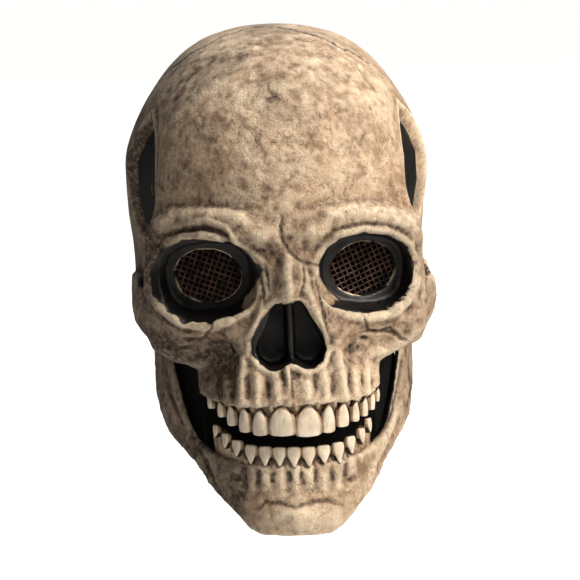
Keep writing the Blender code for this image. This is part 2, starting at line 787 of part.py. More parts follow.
def mouth_cloth():
    """The cloth behind both tooth rows, with a wing along the inside of the jaw each side."""
    front = SIDE_OPENING_FRONT_Y + SEAT_GAP
    wide = shell_half_width(SIDE_OPENING_FRONT_Y, UPPER_GUM_DROP) - WALL + CLOTH_LAP
    inner = jaw_inner_x(front) - CLOTH_JAW_GAP
    top, bottom = CLOTH_TOP_DROP, CLOTH_BOTTOM_DROP
    wing_top, corner_bottom = CLOTH_WING_TOP_DROP, CLOTH_CORNER_BOTTOM_DROP
    half = [
        # x, y, drop of the top, drop of the bottom
        (0.7 * inner, front, top, bottom),
        (inner, front, top, CLOTH_WING_BOTTOM_DROP),
        (inner + CLOTH_JAW_GAP / 2, front, top, corner_bottom),
        (wide, front, wing_top, corner_bottom),
    ]
    for share in (0.15, 0.17, 0.33, 0.50, 0.67, 0.83, 1.00):
        y = front + CLOTH_WING_LENGTH * share
        low = corner_bottom if share == 0.15 else CLOTH_WING_BOTTOM_DROP
        half.append((jaw_inner_x(y) - CLOTH_JAW_GAP, y, wing_top, low))
    places = [Vector(row[:2]) for row in half]
    rings = []
    for k, (x, y, high, low) in enumerate(half):
        run = (places[min(k + 1, len(places) - 1)] - places[max(k - 1, 0)]).normalized()
        near = Vector((x, y))
        back_face = near + Vector((-run.y, run.x)) * CLOTH_THICKNESS
        corners = ((near, high), (back_face, high), (back_face, low), (near, low))
        rings.append([(point.x, point.y, TOP - drop) for point, drop in corners])
    mirrored = [[(-x, y, z) for x, y, z in ring] for ring in rings[::-1]]
    return object_from("mouth_cloth", loft(mirrored + rings), "cloth", 30)


def lower_jaw():
    """The mandible: a horseshoe wall that rises to an eye at each hinge."""
    curve = table_curve(JAW_SECTIONS, (1, 7))
    last = len(JAW_SECTIONS) - 1
    steps = 2 * last
    half = [last * i / steps for i in range(steps + 1)]
    stops = [(-1, t) for t in half[:0:-1]] + [(1, t) for t in half]
    profile = table_curve([("", *row) for row in CHIN_PROFILE], (1, 3))
    rings = []
    for side, t in stops:
        place, top, bottom, draw, gum = jaw_station(curve, t, side)
        outward = jaw_outward(curve, t, side)
        chin = max(0.0, 1 - t / 3)
        outer, inner = [], []
        knots = 7
        for k in range(knots):
            share = k / (knots - 1)
            proud = profile(share * (len(CHIN_PROFILE) - 1))[1] * chin
            push = JAW_WALL * (proud - draw * share**2)
            wall = JAW_WALL * (1 + (gum - 1) * max(0.0, 1 - share / 0.35))
            z = top + (bottom - top) * share
            outer.append((*(place + outward * push), z))
            inner.append((*(place + outward * (push - wall)), z))
        rings.append(outer + inner[::-1])
    jaw = object_from("lower_jaw", loft(rings), "jaw_bone")
    eye_inner, eye_outer, _ = hinge_faces()
    for side in (-1, 1):
        eye = cylinder_x(
            f"hinge_eye_{side_name(side)}",
            HINGE_EYE_RADIUS,
            side * eye_inner,
            side * eye_outer,
            HINGE_Y,
            HINGE_Z,
        )
        boolean(jaw, "UNION", helper(eye))
        bore = hinge_bore(side, f"jaw_bore_{side_name(side)}", eye_inner / 2, HEAD_HALF_WIDTH)
        boolean(jaw, "DIFFERENCE", bore)
    return jaw


def hinge_pin(side):
    """A rivet through the wall of the shell and the eye of the jaw."""
    eye_inner = hinge_faces()[0]
    inner_end = eye_inner - HINGE_SIDE_GAP
    outer_end = pin_pad_x() + SEAT_GAP
    name = f"hinge_pin_{side_name(side)}"
    sides = 14
    turns = [2 * math.pi * i / sides for i in range(sides)]
    profile = (
        (inner_end - PIN_HEAD_THICKNESS, PIN_HEAD_RADIUS),
        (inner_end, PIN_HEAD_RADIUS),
        (inner_end, PIN_RADIUS),
        (outer_end, PIN_RADIUS),
        (outer_end, PIN_HEAD_RADIUS),
        (outer_end + 0.6 * PIN_HEAD_THICKNESS, PIN_HEAD_RADIUS),
        (outer_end + PIN_HEAD_THICKNESS, 0.8 * PIN_HEAD_RADIUS),
    )
    rings = [
        [(side * x, HINGE_Y + r * math.cos(a), HINGE_Z + r * math.sin(a)) for a in turns]
        for x, r in profile
    ]
    return object_from(name, loft(rings), "pin", 30)


def eye_screen(side):
    """A pierced net behind the eye hole, on the back of the socket's floor."""
    front = socket_floor_y() + WALL + SEAT_GAP
    back = front + SCREEN_THICKNESS
    x, z = side * EYE_SPACING / 2, TOP - EYE_DROP
    half_width = EYE_HOLE_HALF_WIDTH + SCREEN_MARGIN
    half_height = EYE_HOLE_HALF_HEIGHT + SCREEN_MARGIN
    sides = 22
    turns = [2 * math.pi * i / sides for i in range(sides)]
    outline = [(half_width * math.cos(a), half_height * math.sin(a)) for a in turns]
    rings = [
        [(x + u, y + set_back(side * u), z + v) for u, v in outline] for y in (front, back)
    ]
    screen = object_from(f"eye_screen_{side_name(side)}", loft(rings), "screen", 30)
    bm = bmesh.new()
    half_hole = (SCREEN_PITCH - SCREEN_STRAND) / 2
    across = int(half_width / SCREEN_PITCH) + 1
    for i in range(-across, across + 1):
        for j in range(-across, across + 1):
            u, v = i * SCREEN_PITCH, j * SCREEN_PITCH
            reach_x = (abs(u) + half_hole) / (half_width - SCREEN_STRAND)
            reach_z = (abs(v) + half_hole) / (half_height - SCREEN_STRAND)
            if math.hypot(reach_x, reach_z) > 1:
                continue
            box = bmesh.ops.create_cube(bm, size=1)["verts"]
            size = (2 * half_hole, 6 * SCREEN_THICKNESS, 2 * half_hole)
            bmesh.ops.scale(bm, verts=box, vec=size)
            middle = (x + u, (front + back) / 2 + set_back(side * u), z + v)
            bmesh.ops.translate(bm, verts=box, vec=middle)
    holes = helper(object_from(f"screen_holes_{side_name(side)}", bm))
    boolean(screen, "DIFFERENCE", holes)
    return screen


def build():
    """Models every piece of the mask."""
    clear_scene()
    skull_shell()
    lower_jaw()
    mouth_cloth()
    tooth_row(
        "upper_teeth",
        UPPER_TEETH,
        UPPER_ROW_LENGTH,
        UPPER_GUM_DROP,
        -UPPER_TOOTH_LENGTH,
        ARCH_HALF_WIDTH,
        ARCH_LENGTH,
    )
    tooth_row(
        "lower_teeth",
        LOWER_TEETH,
        LOWER_ROW_LENGTH,
        LOWER_GUM_DROP,
        LOWER_TOOTH_LENGTH,
        ARCH_HALF_WIDTH - LOWER_ROW_SETBACK,
        ARCH_LENGTH - LOWER_ROW_OVERBITE,
    )
    for side in (-1, 1):
        eye_screen(side)
        hinge_pin(side)


build()
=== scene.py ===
"""Dresses the skull mask: sculpted and painted latex, teeth, eye nets, mouth cloth.

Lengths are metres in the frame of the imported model: +Z up, the face towards -Y, the
wearer's left at +X. Strokes and places on the face are written in millimetres.
"""
import logging
import math
from dataclasses import dataclass, field
from enum import Enum

import bmesh
import bpy
import numpy as np
from mathutils import Matrix, Vector
from mathutils.bvhtree import BVHTree


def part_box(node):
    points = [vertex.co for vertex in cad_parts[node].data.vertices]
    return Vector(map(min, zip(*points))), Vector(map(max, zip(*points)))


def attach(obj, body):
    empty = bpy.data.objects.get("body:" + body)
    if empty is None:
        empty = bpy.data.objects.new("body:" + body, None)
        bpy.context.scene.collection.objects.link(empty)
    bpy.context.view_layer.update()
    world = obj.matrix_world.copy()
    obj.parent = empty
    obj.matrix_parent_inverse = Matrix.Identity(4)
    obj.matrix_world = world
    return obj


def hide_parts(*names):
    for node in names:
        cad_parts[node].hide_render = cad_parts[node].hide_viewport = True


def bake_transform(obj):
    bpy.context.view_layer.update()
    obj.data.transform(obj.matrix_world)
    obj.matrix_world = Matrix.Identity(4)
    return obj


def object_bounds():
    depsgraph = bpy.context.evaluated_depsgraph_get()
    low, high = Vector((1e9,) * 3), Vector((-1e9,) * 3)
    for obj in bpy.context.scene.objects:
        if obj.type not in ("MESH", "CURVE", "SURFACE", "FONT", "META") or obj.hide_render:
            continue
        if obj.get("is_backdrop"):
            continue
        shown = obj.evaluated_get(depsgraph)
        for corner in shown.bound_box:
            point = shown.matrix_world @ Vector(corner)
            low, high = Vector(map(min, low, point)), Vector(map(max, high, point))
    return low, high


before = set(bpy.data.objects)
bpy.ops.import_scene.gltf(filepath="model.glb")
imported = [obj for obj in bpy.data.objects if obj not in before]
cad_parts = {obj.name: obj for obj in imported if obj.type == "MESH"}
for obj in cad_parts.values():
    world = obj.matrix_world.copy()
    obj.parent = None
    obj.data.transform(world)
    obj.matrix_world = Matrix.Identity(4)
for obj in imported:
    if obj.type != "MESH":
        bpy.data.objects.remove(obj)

LOG = logging.getLogger("skull_mask")
MM = 0.001
# A wave texture repeats every tenth of pi over its scale.
WAVE_SPAN = math.pi / 10

Points = tuple[tuple[float, float], ...]
Rgba = tuple[float, float, float, float]


class Side(Enum):
    """A side of the wearer: the sign of X there."""

    RIGHT = -1
    LEFT = 1


class Body(Enum):
    """The moving bodies that pieces ride on."""

    SKULL = "skull"
    JAW = "jaw"


class Row(Enum):
    """A tooth row: the way along Z from its gum to its biting edge."""

    UPPER = -1
    LOWER = 1


def srgb(code: str) -> Rgba:
    """Turns an sRGB hex colour to linear light.

    Args:
        code: six hex digits, such as "C4A98A".

    Returns:
        Red, green, blue and an alpha of 1.
    """
    parts = [int(code[i : i + 2], 16) / 255 for i in (0, 2, 4)]
    linear = [p / 12.92 if p <= 0.04045 else ((p + 0.055) / 1.055) ** 2.4 for p in parts]
    return (linear[0], linear[1], linear[2], 1.0)


def add_node(tree: bpy.types.NodeTree, kind: str, links: dict, **settings: object) -> bpy.types.Node:
    """Adds one shader node.

    Args:
        tree: the material's node tree.
        kind: the node's type name.
        links: for each input, by name or number, a value or an output socket.
        settings: the node's own properties.

    Returns:
        The new node.
    """
    node = tree.nodes.new(kind)
    for name, value in settings.items():
        setattr(node, name, value)
    for name, value in links.items():
        socket = node.inputs[name]
        if isinstance(value, bpy.types.NodeSocket):
            tree.links.new(value, socket)
        else:
            socket.default_value = value
    return node


def smooth_step(low: float, high: float, value: np.ndarray) -> np.ndarray:
    """A soft step from 0 at low to 1 at high."""
    share = np.clip((value - low) / (high - low), 0, 1)
    return share * share * (3 - 2 * share)


def grain(places: np.ndarray, size: float, seed: int) -> np.ndarray:
    """Smooth noise in space.

    Args:
        places: points in metres, one a row.
        size: how far apart its lumps are, in metres.
        seed: picks another pattern of the same kind.

    Returns:
        A value from about -1 to 1 for each point.
    """
    cell = places / size + 37.1 * seed
    base = np.floor(cell).astype(np.int64)
    part = cell - base
    part = part * part * (3 - 2 * part)
    total = np.zeros(len(places))
    for corner in range(8):
        step = np.array([corner & 1, corner >> 1 & 1, corner >> 2 & 1])
        key = base + step
        mixed = (key[:, 0] * 73856093) ^ (key[:, 1] * 19349663) ^ (key[:, 2] * 83492791)
        mixed = (mixed ^ (seed * 2654435761)) & 0xFFFFFFFF
        mixed = (mixed * 1103515245 + 12345) & 0x7FFFFFFF
        mixed = ((mixed >> 7) ^ mixed) * 48271 & 0x7FFFFFFF
        value = (mixed >> 8 & 0xFFFF) / 32767.5 - 1
        weight = np.prod(np.where(step, part, 1 - part), axis=1)
        total += value * weight
    return total


def layered_grain(places: np.ndarray, size: float, seed: int, layers: int = 3) -> np.ndarray:
    """Noise of several sizes, each layer half as large and half as strong.

    Args:
        places: the points, in metres.
        size: the largest lump, in metres.
        seed: picks the pattern.
        layers: how many sizes are added.

    Returns:
        One value a point, about -1 to 1.
    """
    total, share = np.zeros(len(places)), 0.0
    for layer in range(layers):
        total += grain(places, size / 2**layer, seed + layer) / 2**layer
        share += 1 / 2**layer
    return total / share


def distance_to_line(x: np.ndarray, z: np.ndarray, points: Points) -> tuple[np.ndarray, np.ndarray]:
    """Measures from a drawn line in the plane of the face.

    Args:
        x, z: places in millimetres.
        points: the line's corners in millimetres.

    Returns:
        The distance to the line, and how far along it the nearest place lies, from 0 to 1.
    """
    best = np.full(len(x), 1e9)
    along = np.zeros(len(x))
    count = len(points) - 1
    for index, ((ax, az), (bx, bz)) in enumerate(zip(points, points[1:])):
        dx, dz = bx - ax, bz - az
        share = np.clip(((x - ax) * dx + (z - az) * dz) / max(dx * dx + dz * dz, 1e-9), 0, 1)
        away = np.hypot(x - ax - share * dx, z - az - share * dz)
        near = away < best
        best[near] = away[near]
        along[near] = (index + share[near]) / count
    return best, along


def outline_distance(x: np.ndarray, z: np.ndarray, points: Points) -> np.ndarray:
    """Signed distance to a closed outline in millimetres, negative inside.

    Args:
        x: the points' x, in millimetres.
        z: their z, in millimetres.
        points: the outline's corners in order.

    Returns:
        The distance of each point.
    """
    away, _ = distance_to_line(x, z, points + points[:1])
    inside = np.zeros(len(x), bool)
    for (ax, az), (bx, bz) in zip(points, points[1:] + points[:1]):
        crosses = (az > z) != (bz > z)
        reach = (bx - ax) * (z - az) / ((bz - az) or 1e-9) + ax
        inside ^= crosses & (x < reach)
    return np.where(inside, -away, away)


@dataclass(frozen=True)
class Stroke:
    """One stroke of the modelling tool on the face, drawn in (x, z) millimetres.

    A positive push raises a ridge and a negative one cuts a groove. The wash is the
    dark stain that the stroke collects.
    """

    points: Points
    half_width: float
    push: float
    wash_and_shade: float = 0.0
    cream: float = 0.0


@dataclass(frozen=True)
class Dab:
    """A swelling or hollow pressed into the face at a place, in millimetres."""

    x: float
    z: float
    half_x: float
    half_z: float
    push: float
    wash_and_shade: float = 0.0
    cream: float = 0.0
    turn: float = 0.0


class Clay:
    """A mesh under the modelling tool: its points, normals and coats of paint."""

    def __init__(self, piece: bpy.types.Object) -> None:
        """Reads the piece's mesh.

        Args:
            piece: the object to sculpt.
        """
        self.mesh = piece.data
        self.count = len(self.mesh.vertices)
        self.edges = np.zeros(len(self.mesh.edges) * 2, np.int64)
        self.mesh.edges.foreach_get("vertices", self.edges)
        self.edges = self.edges.reshape(-1, 2)
        self.neighbours = np.bincount(self.edges.ravel(), minlength=self.count).clip(1)
        self.read()
        self.paint = {name: np.zeros(self.count) for name in ("black", "wash_and_shade", "cream")}

    def read(self) -> None:
        """Reads places and normals from the mesh."""
        self.places = np.zeros(self.count * 3)
        self.mesh.vertices.foreach_get("co", self.places)
        self.places = self.places.reshape(-1, 3)
        self.normals = np.zeros(self.count * 3)
        self.mesh.vertices.foreach_get("normal", self.normals)
        self.normals = self.normals.reshape(-1, 3)

    def write(self) -> None:
        """Writes the places back, and reads the new normals."""
        self.mesh.vertices.foreach_set("co", self.places.ravel())
        self.mesh.update()
        self.read()

    def averaged(self, values: np.ndarray, rounds: int) -> np.ndarray:
        """Values spread over their neighbours for a number of rounds.

        Args:
            values: one value a vertex.
            rounds: how often each takes its neighbours' mean.

        Returns:
            The smoothed values.
        """
        values = values.astype(float).reshape(self.count, -1)
        near, far = self.edges[:, 0], self.edges[:, 1]
        for _ in range(rounds):
            spread = np.empty_like(values)
            for column in range(values.shape[1]):
                v = values[:, column]
                total = np.bincount(near, v[far], self.count) + np.bincount(far, v[near], self.count)
                spread[:, column] = total / self.neighbours
            values = 0.5 * values + 0.5 * spread
        return values if values.shape[1] > 1 else values[:, 0]

    def draw(
        self, strokes: tuple[Stroke, ...], mask: np.ndarray, wobble: float = 0.35, down: int = 2
    ) -> np.ndarray:
        """Cuts strokes into the surface and stains them.

        Args:
            strokes: what to draw.
            mask: where the tool reaches, from 0 to 1.
            wobble: how unsteady the hand is, in millimetres.
            down: the axis that a stroke's second number is on: 2 for the face, 1 for the crown.

        Returns:
            How far each point is pushed outwards, in millimetres.
        """
        push = np.zeros(self.count)
        reach = np.flatnonzero(mask > 0.01)
        x = self.places[reach, 0] / MM + wobble * grain(self.places[reach], 0.004, 11)
        z = self.places[reach, down] / MM + wobble * grain(self.places[reach], 0.004, 12)
        for stroke in strokes:
            away, along = distance_to_line(x, z, stroke.points)
            taper = np.clip(4 * np.minimum(along, 1 - along) + 0.35, 0, 1)
            shape = np.exp(-((away / stroke.half_width) ** 2)) * taper * mask[reach]
            push[reach] += stroke.push * shape
            self.paint["wash_and_shade"][reach] += stroke.wash_and_shade * shape
            self.paint["cream"][reach] += stroke.cream * shape
        return push

    def press(self, dabs: tuple[Dab, ...], mask: np.ndarray) -> np.ndarray:
        """Presses swellings and hollows into the surface.

        Args:
            dabs: what to press.
            mask: where the tool reaches, from 0 to 1.

        Returns:
            How far each point is pushed outwards, in millimetres.
        """
        push = np.zeros(self.count)
        reach = np.flatnonzero(mask > 0.01)
        x, z = self.places[reach, 0] / MM, self.places[reach, 2] / MM
        for dab in dabs:
            turn = math.radians(dab.turn)
            u = (x - dab.x) * math.cos(turn) + (z - dab.z) * math.sin(turn)
            v = -(x - dab.x) * math.sin(turn) + (z - dab.z) * math.cos(turn)
            shape = np.exp(-((u / dab.half_x) ** 2 + (v / dab.half_z) ** 2)) * mask[reach]
            push[reach] += dab.push * shape
            self.paint["wash_and_shade"][reach] += dab.wash_and_shade * shape
            self.paint["cream"][reach] += dab.cream * shape
        return push

    def move(self, push: np.ndarray) -> None:
        """Moves each point along its normal by so many millimetres."""
        self.places += self.normals * push[:, None] * MM
        self.write()

    def stain_hollows(self, rounds: int, strength: float) -> None:
        """Adds a dark stain where the surface is hollow and a pale rub where it is proud.

        Args:
            rounds: how far it looks around each point.
            strength: stain for each millimetre of depth.
        """
        around = self.averaged(self.places, rounds)
        proud = ((self.places - around) * self.normals).sum(1) / MM
        self.paint["wash_and_shade"] += np.clip(-proud * strength, 0, 1)
        self.paint["cream"] += np.clip(proud * strength * 0.8, 0, 1)

    def keep_paint(self) -> None:
        """Stores the coats of paint as attributes of the mesh."""
        for name, values in self.paint.items():
            layer = self.mesh.attributes.new(f"paint_{name}", "FLOAT", "POINT")
            layer.data.foreach_set("value", np.clip(values, 0, 1).astype(np.float32))


def deselect() -> None:
    """Leaves object mode with nothing selected."""
    if bpy.context.object and bpy.context.object.mode != "OBJECT":
        bpy.ops.object.mode_set(mode="OBJECT")
    bpy.ops.object.select_all(action="DESELECT")


def pick(piece: bpy.types.Object) -> None:
    """Selects only that piece and makes it active.

    Args:
        piece: the object to select.
    """
    deselect()
    piece.select_set(True)
    bpy.context.view_layer.objects.active = piece


def apply_modifier(piece: bpy.types.Object, kind: str, **settings: object) -> None:
    """Adds a modifier and applies it at once.

    Args:
        piece: the object.
        kind: the modifier's type name.
        settings: the modifier's properties.
    """
    modifier = piece.modifiers.new(kind.lower(), kind)
    for name, value in settings.items():
        setattr(modifier, name, value)
    pick(piece)
    bpy.ops.object.modifier_apply(modifier=modifier.name)


def copy_of_node(node: str, name: str) -> bpy.types.Object:
    """A welded copy of a CAD node's mesh.

    Args:
        node: the CAD node.
        name: the new piece's name.

    Returns:
        The new object.
    """
    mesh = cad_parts[node].data.copy()
    mesh.name = name
    mesh.materials.clear()
    piece = bpy.data.objects.new(name, mesh)
    bpy.context.scene.collection.objects.link(piece)
    pick(piece)
    bpy.ops.object.mode_set(mode="EDIT")
    bpy.ops.mesh.select_all(action="SELECT")
    bpy.ops.mesh.remove_doubles(threshold=2e-6)
    bpy.ops.object.mode_set(mode="OBJECT")
    return piece


def weights(piece: bpy.types.Object, name: str, values: np.ndarray) -> None:
    """Stores values from 0 to 1 as a vertex group, in 20 steps.

    Args:
        piece: the object that gets the group.
        name: the group's name.
        values: one value a vertex.
    """
    group = piece.vertex_groups.new(name=name)
    level = np.round(np.clip(values, 0, 1) * 20).astype(int)
    for step in range(1, 21):
        chosen = np.flatnonzero(level == step)
        if len(chosen):
            group.add(chosen.tolist(), step / 20, "REPLACE")


def places_of(piece: bpy.types.Object) -> np.ndarray:
    """The piece's vertices, one a row.

    Args:
        piece: a mesh object.

    Returns:
        The vertices in metres.
    """
    places = np.zeros(len(piece.data.vertices) * 3)
    piece.data.vertices.foreach_get("co", places)
    return places.reshape(-1, 3)


def dress(
    piece: bpy.types.Object, finish: "Finish", body: Body | None, slot: str, *nodes: str
) -> bpy.types.Object:
    """Gives a finished piece its material, its body and the CAD nodes it stands for.

    Args:
        piece: the object.
        finish: its material's recipe.
        body: what it rides on, or None for the cloth, which is left on no body.
        slot: the record's material slot. It is not used.
        nodes: the CAD nodes that it replaces.

    Returns:
        The same object.
    """
    piece.data.materials.clear()
    piece.data.materials.append(finish.made())
    if body:
        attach(piece, body.value)
    if nodes:
        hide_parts(*nodes)
    carrier = body.value if body else "both bodies"
    LOG.info("%s: %d faces on %s", piece.name, len(piece.data.polygons), carrier)
    return piece


class Finish:
    """A material's recipe. It is made once, on first use."""

    name = "finish"

    def made(self) -> bpy.types.Material:
        """Makes the material, or finds the one already made.

        Returns:
            The material.
        """
        found = bpy.data.materials.get(self.name)
        if found:
            return found
        material = bpy.data.materials.new(self.name)
        material.use_nodes = True
        tree = material.node_tree
        tree.nodes.clear()
        shader = tree.nodes.new("ShaderNodeBsdfPrincipled")
        output = tree.nodes.new("ShaderNodeOutputMaterial")
        tree.links.new(shader.outputs[0], output.inputs["Surface"])
        self.mix(tree, shader)
        return material

    def mix(self, tree: bpy.types.NodeTree, shader: bpy.types.Node) -> None:
        """Builds the nodes before the shader.

        Args:
            tree: the material's nodes.
            shader: its principled shader.
        """
        raise NotImplementedError

    @staticmethod
    def blend(
        tree: bpy.types.NodeTree, amount: object, under: object, over: object, mode: str = "MIX"
    ) -> bpy.types.NodeSocket:
        """Lays one colour over another by an amount.

        Args:
            tree: the material's nodes.
            amount: how much of the upper colour shows, 0 to 1.
            under: the lower colour.
            over: the upper colour.
            mode: Blender's way of mixing.

        Returns:
            The mixed colour's socket.
        """
        node = add_node(tree, "ShaderNodeMix", {}, data_type="RGBA", blend_type=mode)
        for socket, value in ((node.inputs[0], amount), (node.inputs[6], under), (node.inputs[7], over)):
            if isinstance(value, bpy.types.NodeSocket):
                tree.links.new(value, socket)
            else:
                socket.default_value = value
        return node.outputs[2]

    @staticmethod
    def noise(
        tree: bpy.types.NodeTree,
        place: object,
        size_mm: float,
        detail: float = 3.0,
        rough: float = 0.5,
        warp: float = 0.0,
    ) -> bpy.types.NodeSocket:
        """Noise whose lumps are about size_mm apart.

        Args:
            tree: the material's nodes.
            place: the coordinates' socket.
            size_mm: the distance between lumps, in millimetres.
            detail: how many finer layers it has.
            rough: how strong the finer layers are.
            warp: how far the lumps are drawn out of shape.

        Returns:
            The socket of the noise's value.
        """
        node = add_node(
            tree,
            "ShaderNodeTexNoise",
            {
                "Vector": place,
                "Scale": 1 / (size_mm * MM),
                "Detail": detail,
                "Roughness": rough,
                "Distortion": warp,
            },
        )
        return node.outputs["Fac"]

    @staticmethod
    def ramp(
        tree: bpy.types.NodeTree,
        value: object,
        low: float,
        high: float,
        to_low: float = 0.0,
        to_high: float = 1.0,
    ) -> bpy.types.NodeSocket:
        """Maps low..high to to_low..to_high, clamped and eased."""
        node = add_node(
            tree,
            "ShaderNodeMapRange",
            {"Value": value, "From Min": low, "From Max": high, "To Min": to_low, "To Max": to_high},
            interpolation_type="SMOOTHSTEP",
        )
        return node.outputs["Result"]

    @staticmethod
    def sums(tree: bpy.types.NodeTree, operation: str, first: object, second: object) -> bpy.types.NodeSocket:
        """One step of arithmetic, kept between 0 and 1 for MULTIPLY and ADD."""
        node = add_node(tree, "ShaderNodeMath", {0: first, 1: second}, operation=operation, use_clamp=True)
        return node.outputs[0]


@dataclass(frozen=True)
class PaintedLatex(Finish):
    """Cast latex painted as old bone, sealed with a matt varnish.

    A tan base coat is sponged with cream, then washed with umber that is wiped off the
    high places and stays in every groove. The eye sees a mottled ground, flecks a
    millimetre or two across, dark lines and rubbed ridges. The sockets and the nose
    are brushed black over it, and the temples are washed dark. The umber coat also
    carries painted shade on the side away from the key light and in the temple hollows,
    and is thinned as painted light where the key light falls.
    """

    name: str = "painted_latex_bone"
    ground: str = "B4967A"
    pale: str = "D6BFA2"
    tan: str = "7E6144"
    umber: str = "332316"
    cream: str = "E9D8BC"
    black: str = "080707"
    wear: float = 1.0

    def mix(self, tree: bpy.types.NodeTree, shader: bpy.types.Node) -> None:
        """Builds the coats in the order they were put on.

        Args:
            tree: the material's nodes.
            shader: its principled shader.
        """
        place = add_node(tree, "ShaderNodeTexCoord", {}).outputs["Object"]
        coat = {
            name: add_node(tree, "ShaderNodeAttribute", {}, attribute_name=f"paint_{name}").outputs["Fac"]
            for name in ("black", "wash_and_shade", "cream")
        }
        cloud = self.ramp(tree, self.noise(tree, place, 34, 4, 0.6, 0.4), 0.38, 0.66)
        colour = self.blend(tree, cloud, srgb(self.ground), srgb(self.pale))
        sponge = self.ramp(tree, self.noise(tree, place, 11, 6, 0.7, 0.8), 0.46, 0.66, 0.0, 0.8)
        colour = self.blend(tree, sponge, colour, srgb(self.tan))
        smear = self.ramp(tree, self.noise(tree, place, 5.0, 6, 0.75, 0.5), 0.50, 0.66, 0.0, 0.5)
        colour = self.blend(tree, smear, colour, srgb(self.cream))
        fleck = self.ramp(tree, self.noise(tree, place, 2.6, 5, 0.75), 0.53, 0.66, 0.0, 0.6 * self.wear)
        colour = self.blend(tree, fleck, colour, srgb(self.tan))
        dots = self.ramp(tree, self.noise(tree, place, 1.5, 3, 0.6), 0.60, 0.70, 0.0, 0.75 * self.wear)
        colour = self.blend(tree, dots, colour, srgb(self.umber))
        rag = self.ramp(tree, self.noise(tree, place, 3, 3), 0.3, 0.6, 0.45, 1.0)
        rub = self.sums(tree, "MULTIPLY", coat["cream"], rag)
        colour = self.blend(tree, rub, colour, srgb(self.cream))
        # Umber where the wash coat lies: stain in the grooves, and painted shade where the coat was laid for
        # it.
        pool = self.ramp(tree, self.noise(tree, place, 2.6, 4, 0.7), 0.3, 0.62, 0.6, 1.0)
        stain_and_shade = self.sums(tree, "MULTIPLY", coat["wash_and_shade"], pool)
        colour = self.blend(tree, stain_and_shade, colour, srgb(self.umber))
        # Hair-thin brown lines, where the noise crosses its middle value.
        drift = self.noise(tree, place, 9.0, 5, 0.6, 0.7)
        swing = add_node(tree, "ShaderNodeMath", {0: drift, 1: 0.5}, operation="SUBTRACT")
        scribble = add_node(tree, "ShaderNodeMath", {0: swing.outputs[0]}, operation="ABSOLUTE").outputs[0]
        thin = self.ramp(tree, scribble, 0.0, 0.012, 0.75 * self.wear, 0.0)
        thin = self.sums(tree, "MULTIPLY", thin, self.ramp(tree, self.noise(tree, place, 16, 2), 0.42, 0.6))
        colour = self.blend(tree, thin, colour, srgb(self.umber))
        brush = self.noise(tree, place, 1.6, 3, 0.6)
        reach = self.sums(tree, "SUBTRACT", coat["black"], 0.15)
        ragged = self.sums(tree, "ADD", reach, self.sums(tree, "MULTIPLY", brush, 0.3))
        edge = self.ramp(tree, ragged, 0.44, 0.60)
        colour = self.blend(tree, edge, colour, srgb(self.black))
        tree.links.new(colour, shader.inputs["Base Color"])
        varnish = self.ramp(tree, self.noise(tree, place, 5, 3), 0.3, 0.7, 0.55, 0.74)
        rough = add_node(tree, "ShaderNodeMix", {0: edge, 2: varnish, 3: 0.48}, data_type="FLOAT")
        tree.links.new(rough.outputs[0], shader.inputs["Roughness"])
        shader.inputs["IOR"].default_value = 1.5
        pits = self.noise(tree, place, 1.4, 4, 0.65)
        lumps = self.noise(tree, place, 5.5, 3, 0.55)
        pitted = self.ramp(tree, pits, 0.28, 0.62, 0.0, 0.55)
        skin = add_node(tree, "ShaderNodeMath", {0: pitted, 1: lumps}, operation="ADD")
        strength = add_node(tree, "ShaderNodeMix", {0: edge, 2: 0.8, 3: 0.2}, data_type="FLOAT").outputs[0]
        relief = {"Strength": strength, "Distance": 0.7 * MM, "Height": skin.outputs[0]}
        bump = add_node(tree, "ShaderNodeBump", relief)
        tree.links.new(bump.outputs[0], shader.inputs["Normal"])


@dataclass(frozen=True)
class ToothPaint(Finish):
    """Cast latex teeth under ivory paint and a satin varnish.

    The umber wash stays at the gum and in the upright scratches, so the eye sees pale
    crowns with brown streaks and a soft shine. At the gum line and the crowns' sides the
    same coat is partly painted shade, where a crown meets the gum and its neighbours.
    """

    name: str = "painted_latex_ivory"
    ivory: str = "D6C7AF"
    pale: str = "E6DAC5"
    streak: str = "8A6A47"
    umber: str = "24180F"

    def mix(self, tree: bpy.types.NodeTree, shader: bpy.types.Node) -> None:
        """Builds the ivory, its streaks and the wash, which also lays painted shade.

        Args:
            tree: the material's nodes.
            shader: its principled shader.
        """
        place = add_node(tree, "ShaderNodeTexCoord", {}).outputs["Object"]
        wash_and_shade = add_node(tree, "ShaderNodeAttribute", {}, attribute_name="paint_wash_and_shade").outputs["Fac"]
        upright = add_node(tree, "ShaderNodeMapping", {"Vector": place, "Scale": (1.0, 1.0, 0.16)}).outputs[0]
        cloud = self.ramp(tree, self.noise(tree, place, 6, 3), 0.35, 0.65)
        colour = self.blend(tree, cloud, srgb(self.ivory), srgb(self.pale))
        lines = self.ramp(tree, self.noise(tree, upright, 1.1, 3, 0.6), 0.55, 0.72, 0.0, 0.55)
        colour = self.blend(tree, lines, colour, srgb(self.streak))
        pool = self.ramp(tree, self.noise(tree, place, 1.5, 3), 0.3, 0.6, 0.7, 1.0)
        stain_and_shade = self.sums(tree, "MULTIPLY", wash_and_shade, pool)
        colour = self.blend(tree, self.ramp(tree, stain_and_shade, 0.0, 0.5), colour, srgb(self.streak))
        colour = self.blend(tree, self.ramp(tree, stain_and_shade, 0.35, 0.95), colour, srgb(self.umber))
        tree.links.new(colour, shader.inputs["Base Color"])
        gloss = self.ramp(tree, self.noise(tree, place, 2, 3), 0.3, 0.7, 0.34, 0.5)
        tree.links.new(gloss, shader.inputs["Roughness"])
        shader.inputs["IOR"].default_value = 1.5
        relief = {"Strength": 0.4, "Distance": 0.3 * MM, "Height": self.noise(tree, upright, 1.0, 3)}
        bump = add_node(tree, "ShaderNodeBump", relief)
        tree.links.new(bump.outputs[0], shader.inputs["Normal"])


